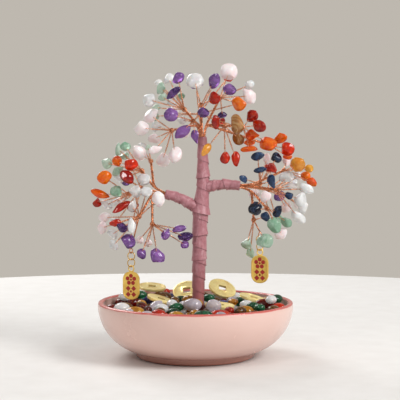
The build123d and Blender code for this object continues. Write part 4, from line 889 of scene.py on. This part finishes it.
def makeTape(part):
    t = tapeWork
    p = t[part]
    way = tapeRoute(part)
    length = way[1][-1]
    pitch = length / max(2, round(length / (p["pitch"] * mm)))
    wide = pitch + t["lap"] * mm
    turns = (length + wide) / pitch

    def wind(along, across):  # across is 0 at the strip's lower edge
        wobble = 0.10 * pitch * fieldNoise.noise(Vector((along * turns * 0.9, 3.1, len(part))))
        mark = along * turns * pitch - wide + across * wide + wobble
        turn = 2 * math.pi * along * turns * p["turnsUp"]
        return tapeSpot(part, way, mark, turn, t["lip"] * mm * (1 - across) ** 1.3)

    strips = [paperStrip(int(turns * t["stepsRound"]), t["stepsAcross"], wind)]
    for low, high, flare, slant in p["cuffs"]:
        def wrap(along, across):
            turn = 2 * math.pi * (1.08 * along - 0.29)
            ragged = 0.35 * fieldNoise.noise(Vector((turn, low, 0.5)))
            mark = low + (high - low) * across + (1 - across) * (slant * math.cos(turn) + ragged)
            lift = t["cuffLift"] * (1 - 1.6 * across) + flare * (1 - across) ** 2
            return tapeSpot(part, way, mark * mm, turn, lift * mm)

        strips.append(paperStrip(2 * t["stepsRound"], t["stepsAcross"], wrap))
    pick(*strips)
    bpy.ops.object.join()
    bpy.ops.object.shade_smooth_by_angle(angle=math.radians(50))
    return bpy.context.object


def makePaper():
    t = tapeWork
    material, tree, shader, place = newMaterial("rosePaperTape")
    lap = addNode(tree, "Attribute", attribute_name="lapEdge")
    pulp = addNode(tree, "TexNoise", {"Scale": 420.0, "Detail": 5.0, "Roughness": 0.65})
    link(tree, place.outputs["Object"], pulp.inputs["Vector"])
    stretch = addNode(tree, "Mapping", {"Scale": (1.0, 1.0, 0.25)})
    link(tree, place.outputs["Object"], stretch.inputs["Vector"])
    pleat = addNode(tree, "TexNoise", {"Scale": 520.0, "Detail": 2.0, "Distortion": 0.6})
    link(tree, stretch.outputs[0], pleat.inputs["Vector"])
    soft = addNode(tree, "MapRange", {"From Min": 0.3, "From Max": 0.72})
    link(tree, pulp.outputs["Fac"], soft.inputs["Value"])
    body = addNode(tree, "Mix", {"A": t["paper"], "B": t["shade"]}, data_type="RGBA")
    link(tree, soft.outputs[0], body.inputs["Factor"])
    fleckMask = addNode(tree, "MapRange", {"From Min": 0.55, "From Max": 0.8, "To Max": 0.55})
    link(tree, pleat.outputs["Fac"], fleckMask.inputs["Value"])
    fleck = addNode(tree, "Mix", {"B": t["fleck"]}, data_type="RGBA")
    link(tree, fleckMask.outputs[0], fleck.inputs["Factor"])
    link(tree, body.outputs["Result"], fleck.inputs["A"])
    # painted shade: the tape darkens towards the foot of the trunk, near the pebbles
    axes = addNode(tree, "SeparateXYZ")
    link(tree, place.outputs["Object"], axes.inputs[0])
    low = addNode(tree, "MapRange", {"From Min": t["soiledFrom"] * mm, "From Max": t["soiledTo"] * mm,
                                     "To Min": 0.85, "To Max": 0.0})
    link(tree, axes.outputs["Z"], low.inputs["Value"])
    soiled = addNode(tree, "Mix", {"B": t["soiled"]}, data_type="RGBA")
    link(tree, low.outputs[0], soiled.inputs["Factor"])
    link(tree, fleck.outputs["Result"], soiled.inputs["A"])
    # painted shade where each strip's upper edge runs under the next turn's lifted lip
    lapShadeMask = addNode(tree, "MapRange", {"From Min": 0.0, "From Max": 0.26, "To Min": 0.85, "To Max": 0.0})
    link(tree, lap.outputs["Fac"], lapShadeMask.inputs["Value"])
    seam = addNode(tree, "Mix", {"B": t["seam"]}, data_type="RGBA")
    link(tree, lapShadeMask.outputs[0], seam.inputs["Factor"])
    link(tree, soiled.outputs["Result"], seam.inputs["A"])
    link(tree, seam.outputs["Result"], shader.inputs["Base Color"])
    sheen = addNode(tree, "MapRange", {"To Min": 0.34, "To Max": 0.52})
    link(tree, pulp.outputs["Fac"], sheen.inputs["Value"])
    link(tree, sheen.outputs[0], shader.inputs["Roughness"])
    both = addNode(tree, "Math", operation="ADD")
    link(tree, pulp.outputs["Fac"], both.inputs[0])
    link(tree, pleat.outputs["Fac"], both.inputs[1])
    bumpInto(tree, shader, both.outputs[0], 0.35, 0.0002)
    return material


paper = makePaper()
for part in ("trunk", "left_limb", "right_limb"):
    name = part.split("_")[0] + "PaperTape"
    finishPiece(makeTape(part), name, "tree", "paper_tape", paper, part + "_tape")
    dressNode(part + "_wire_bundle", metalMaterials["bundle"])
print("tape wound on the trunk and limbs")


# Coins: the CAD coins with softened edges, sizes in mm
coinWork = {"edge": 0.16}


def softCopy(node, width):
    copy = bpy.data.objects.new(node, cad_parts[node].data.copy())
    bpy.context.scene.collection.objects.link(copy)
    pick(copy)
    bpy.ops.object.mode_set(mode="EDIT")
    bpy.ops.mesh.select_all(action="SELECT")
    bpy.ops.mesh.remove_doubles(threshold=0.000002)
    bpy.ops.mesh.dissolve_limited(angle_limit=math.radians(1))
    bpy.ops.object.mode_set(mode="OBJECT")
    applyModifier(copy, "BEVEL", width=width, segments=2, limit_method="ANGLE", angle_limit=math.radians(40))
    bpy.ops.object.shade_smooth_by_angle(angle=math.radians(35))
    return copy


coins = softCopy("cash_coins", coinWork["edge"] * mm)
finishPiece(coins, "brassCoins", "tree", "coin_brass", metalMaterials["brass"], "cash_coins")
print("coins struck")


# Tags, enamel, rings and hangers, sizes in mm
tagWork = {
    # rings: radius and turn; cut: its angle and half width in radians, and the share of the wire left there
    "ringWire": 0.3, "upper": (2.4, -26.0), "lower": (2.5, 34.0), "cut": (0.5, 0.06, 0.8), "edge": 0.14,
    "enamel": srgb(192, 44, 28), "enamelDeep": srgb(150, 22, 18),
}


def makeEnamel():
    material, tree, shader, place = newMaterial("redEnamel")
    pool = addNode(tree, "TexNoise", {"Scale": 600.0, "Detail": 3.0})
    link(tree, place.outputs["Object"], pool.inputs["Vector"])
    mix = addNode(tree, "Mix", {"A": tagWork["enamel"], "B": tagWork["enamelDeep"]}, data_type="RGBA")
    link(tree, pool.outputs["Fac"], mix.inputs["Factor"])
    link(tree, mix.outputs["Result"], shader.inputs["Base Color"])
    gloss = addNode(tree, "MapRange", {"To Min": 0.1, "To Max": 0.3})
    link(tree, pool.outputs["Fac"], gloss.inputs["Value"])
    link(tree, gloss.outputs[0], shader.inputs["Roughness"])
    bumpInto(tree, shader, pool.outputs["Fac"], 0.1, 0.0002)
    return material


def makeRing(side, ring):
    reach, turn = tagWork[ring]
    cutAt, cutHalf, cutShare = tagWork["cut"]
    node = f"{side}_{ring}_ring"
    low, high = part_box(node)
    clearSelection()
    bpy.ops.mesh.primitive_torus_add(major_radius=reach * mm, minor_radius=tagWork["ringWire"] * mm,
                                     major_segments=56, minor_segments=14, location=(low + high) / 2,
                                     rotation=(math.pi / 2, 0, math.radians(turn)))
    obj = bpy.context.object
    for v in obj.data.vertices:  # the closed cut of the jump ring
        angle = math.atan2(v.co.y, v.co.x)
        if abs(angle - cutAt) < cutHalf:
            middle = Vector((math.cos(angle), math.sin(angle), 0)) * reach * mm
            v.co = middle + (v.co - middle) * cutShare
    bpy.ops.object.transform_apply(location=True, rotation=True, scale=True)
    bpy.ops.object.shade_smooth()
    finishPiece(obj, f"{side}{ring.title()}Ring", node, "gilt_ring", metalMaterials["giltRing"], node)


enamel = makeEnamel()
for side in ("left", "right"):
    for ring in ("upper", "lower"):
        makeRing(side, ring)
    finishPiece(softCopy(f"{side}_tag", tagWork["edge"] * mm), f"{side}GiltTag", f"{side}_tag", "gilt_tag",
                metalMaterials["giltTag"], f"{side}_tag")
    dressNode(f"{side}_tag_enamel", enamel)
    dressNode(f"{side}_tag_hanger", metalMaterials["copper"])
print("tags and rings hung")


# Plaster under the pebbles
plasterTones = {"pale": srgb(226, 220, 210), "deep": srgb(196, 188, 176)}


def makePlaster():
    material, tree, shader, place = newMaterial("palePlaster")
    grain = addNode(tree, "TexNoise", {"Scale": 160.0, "Detail": 6.0})
    link(tree, place.outputs["Object"], grain.inputs["Vector"])
    mix = addNode(tree, "Mix", {"A": plasterTones["pale"], "B": plasterTones["deep"]}, data_type="RGBA")
    link(tree, grain.outputs["Fac"], mix.inputs["Factor"])
    link(tree, mix.outputs["Result"], shader.inputs["Base Color"])
    shader.inputs["Roughness"].default_value = 0.9
    bumpInto(tree, shader, grain.outputs["Fac"], 0.4, 0.0008)
    return material


dressNode("plaster_fill", makePlaster())
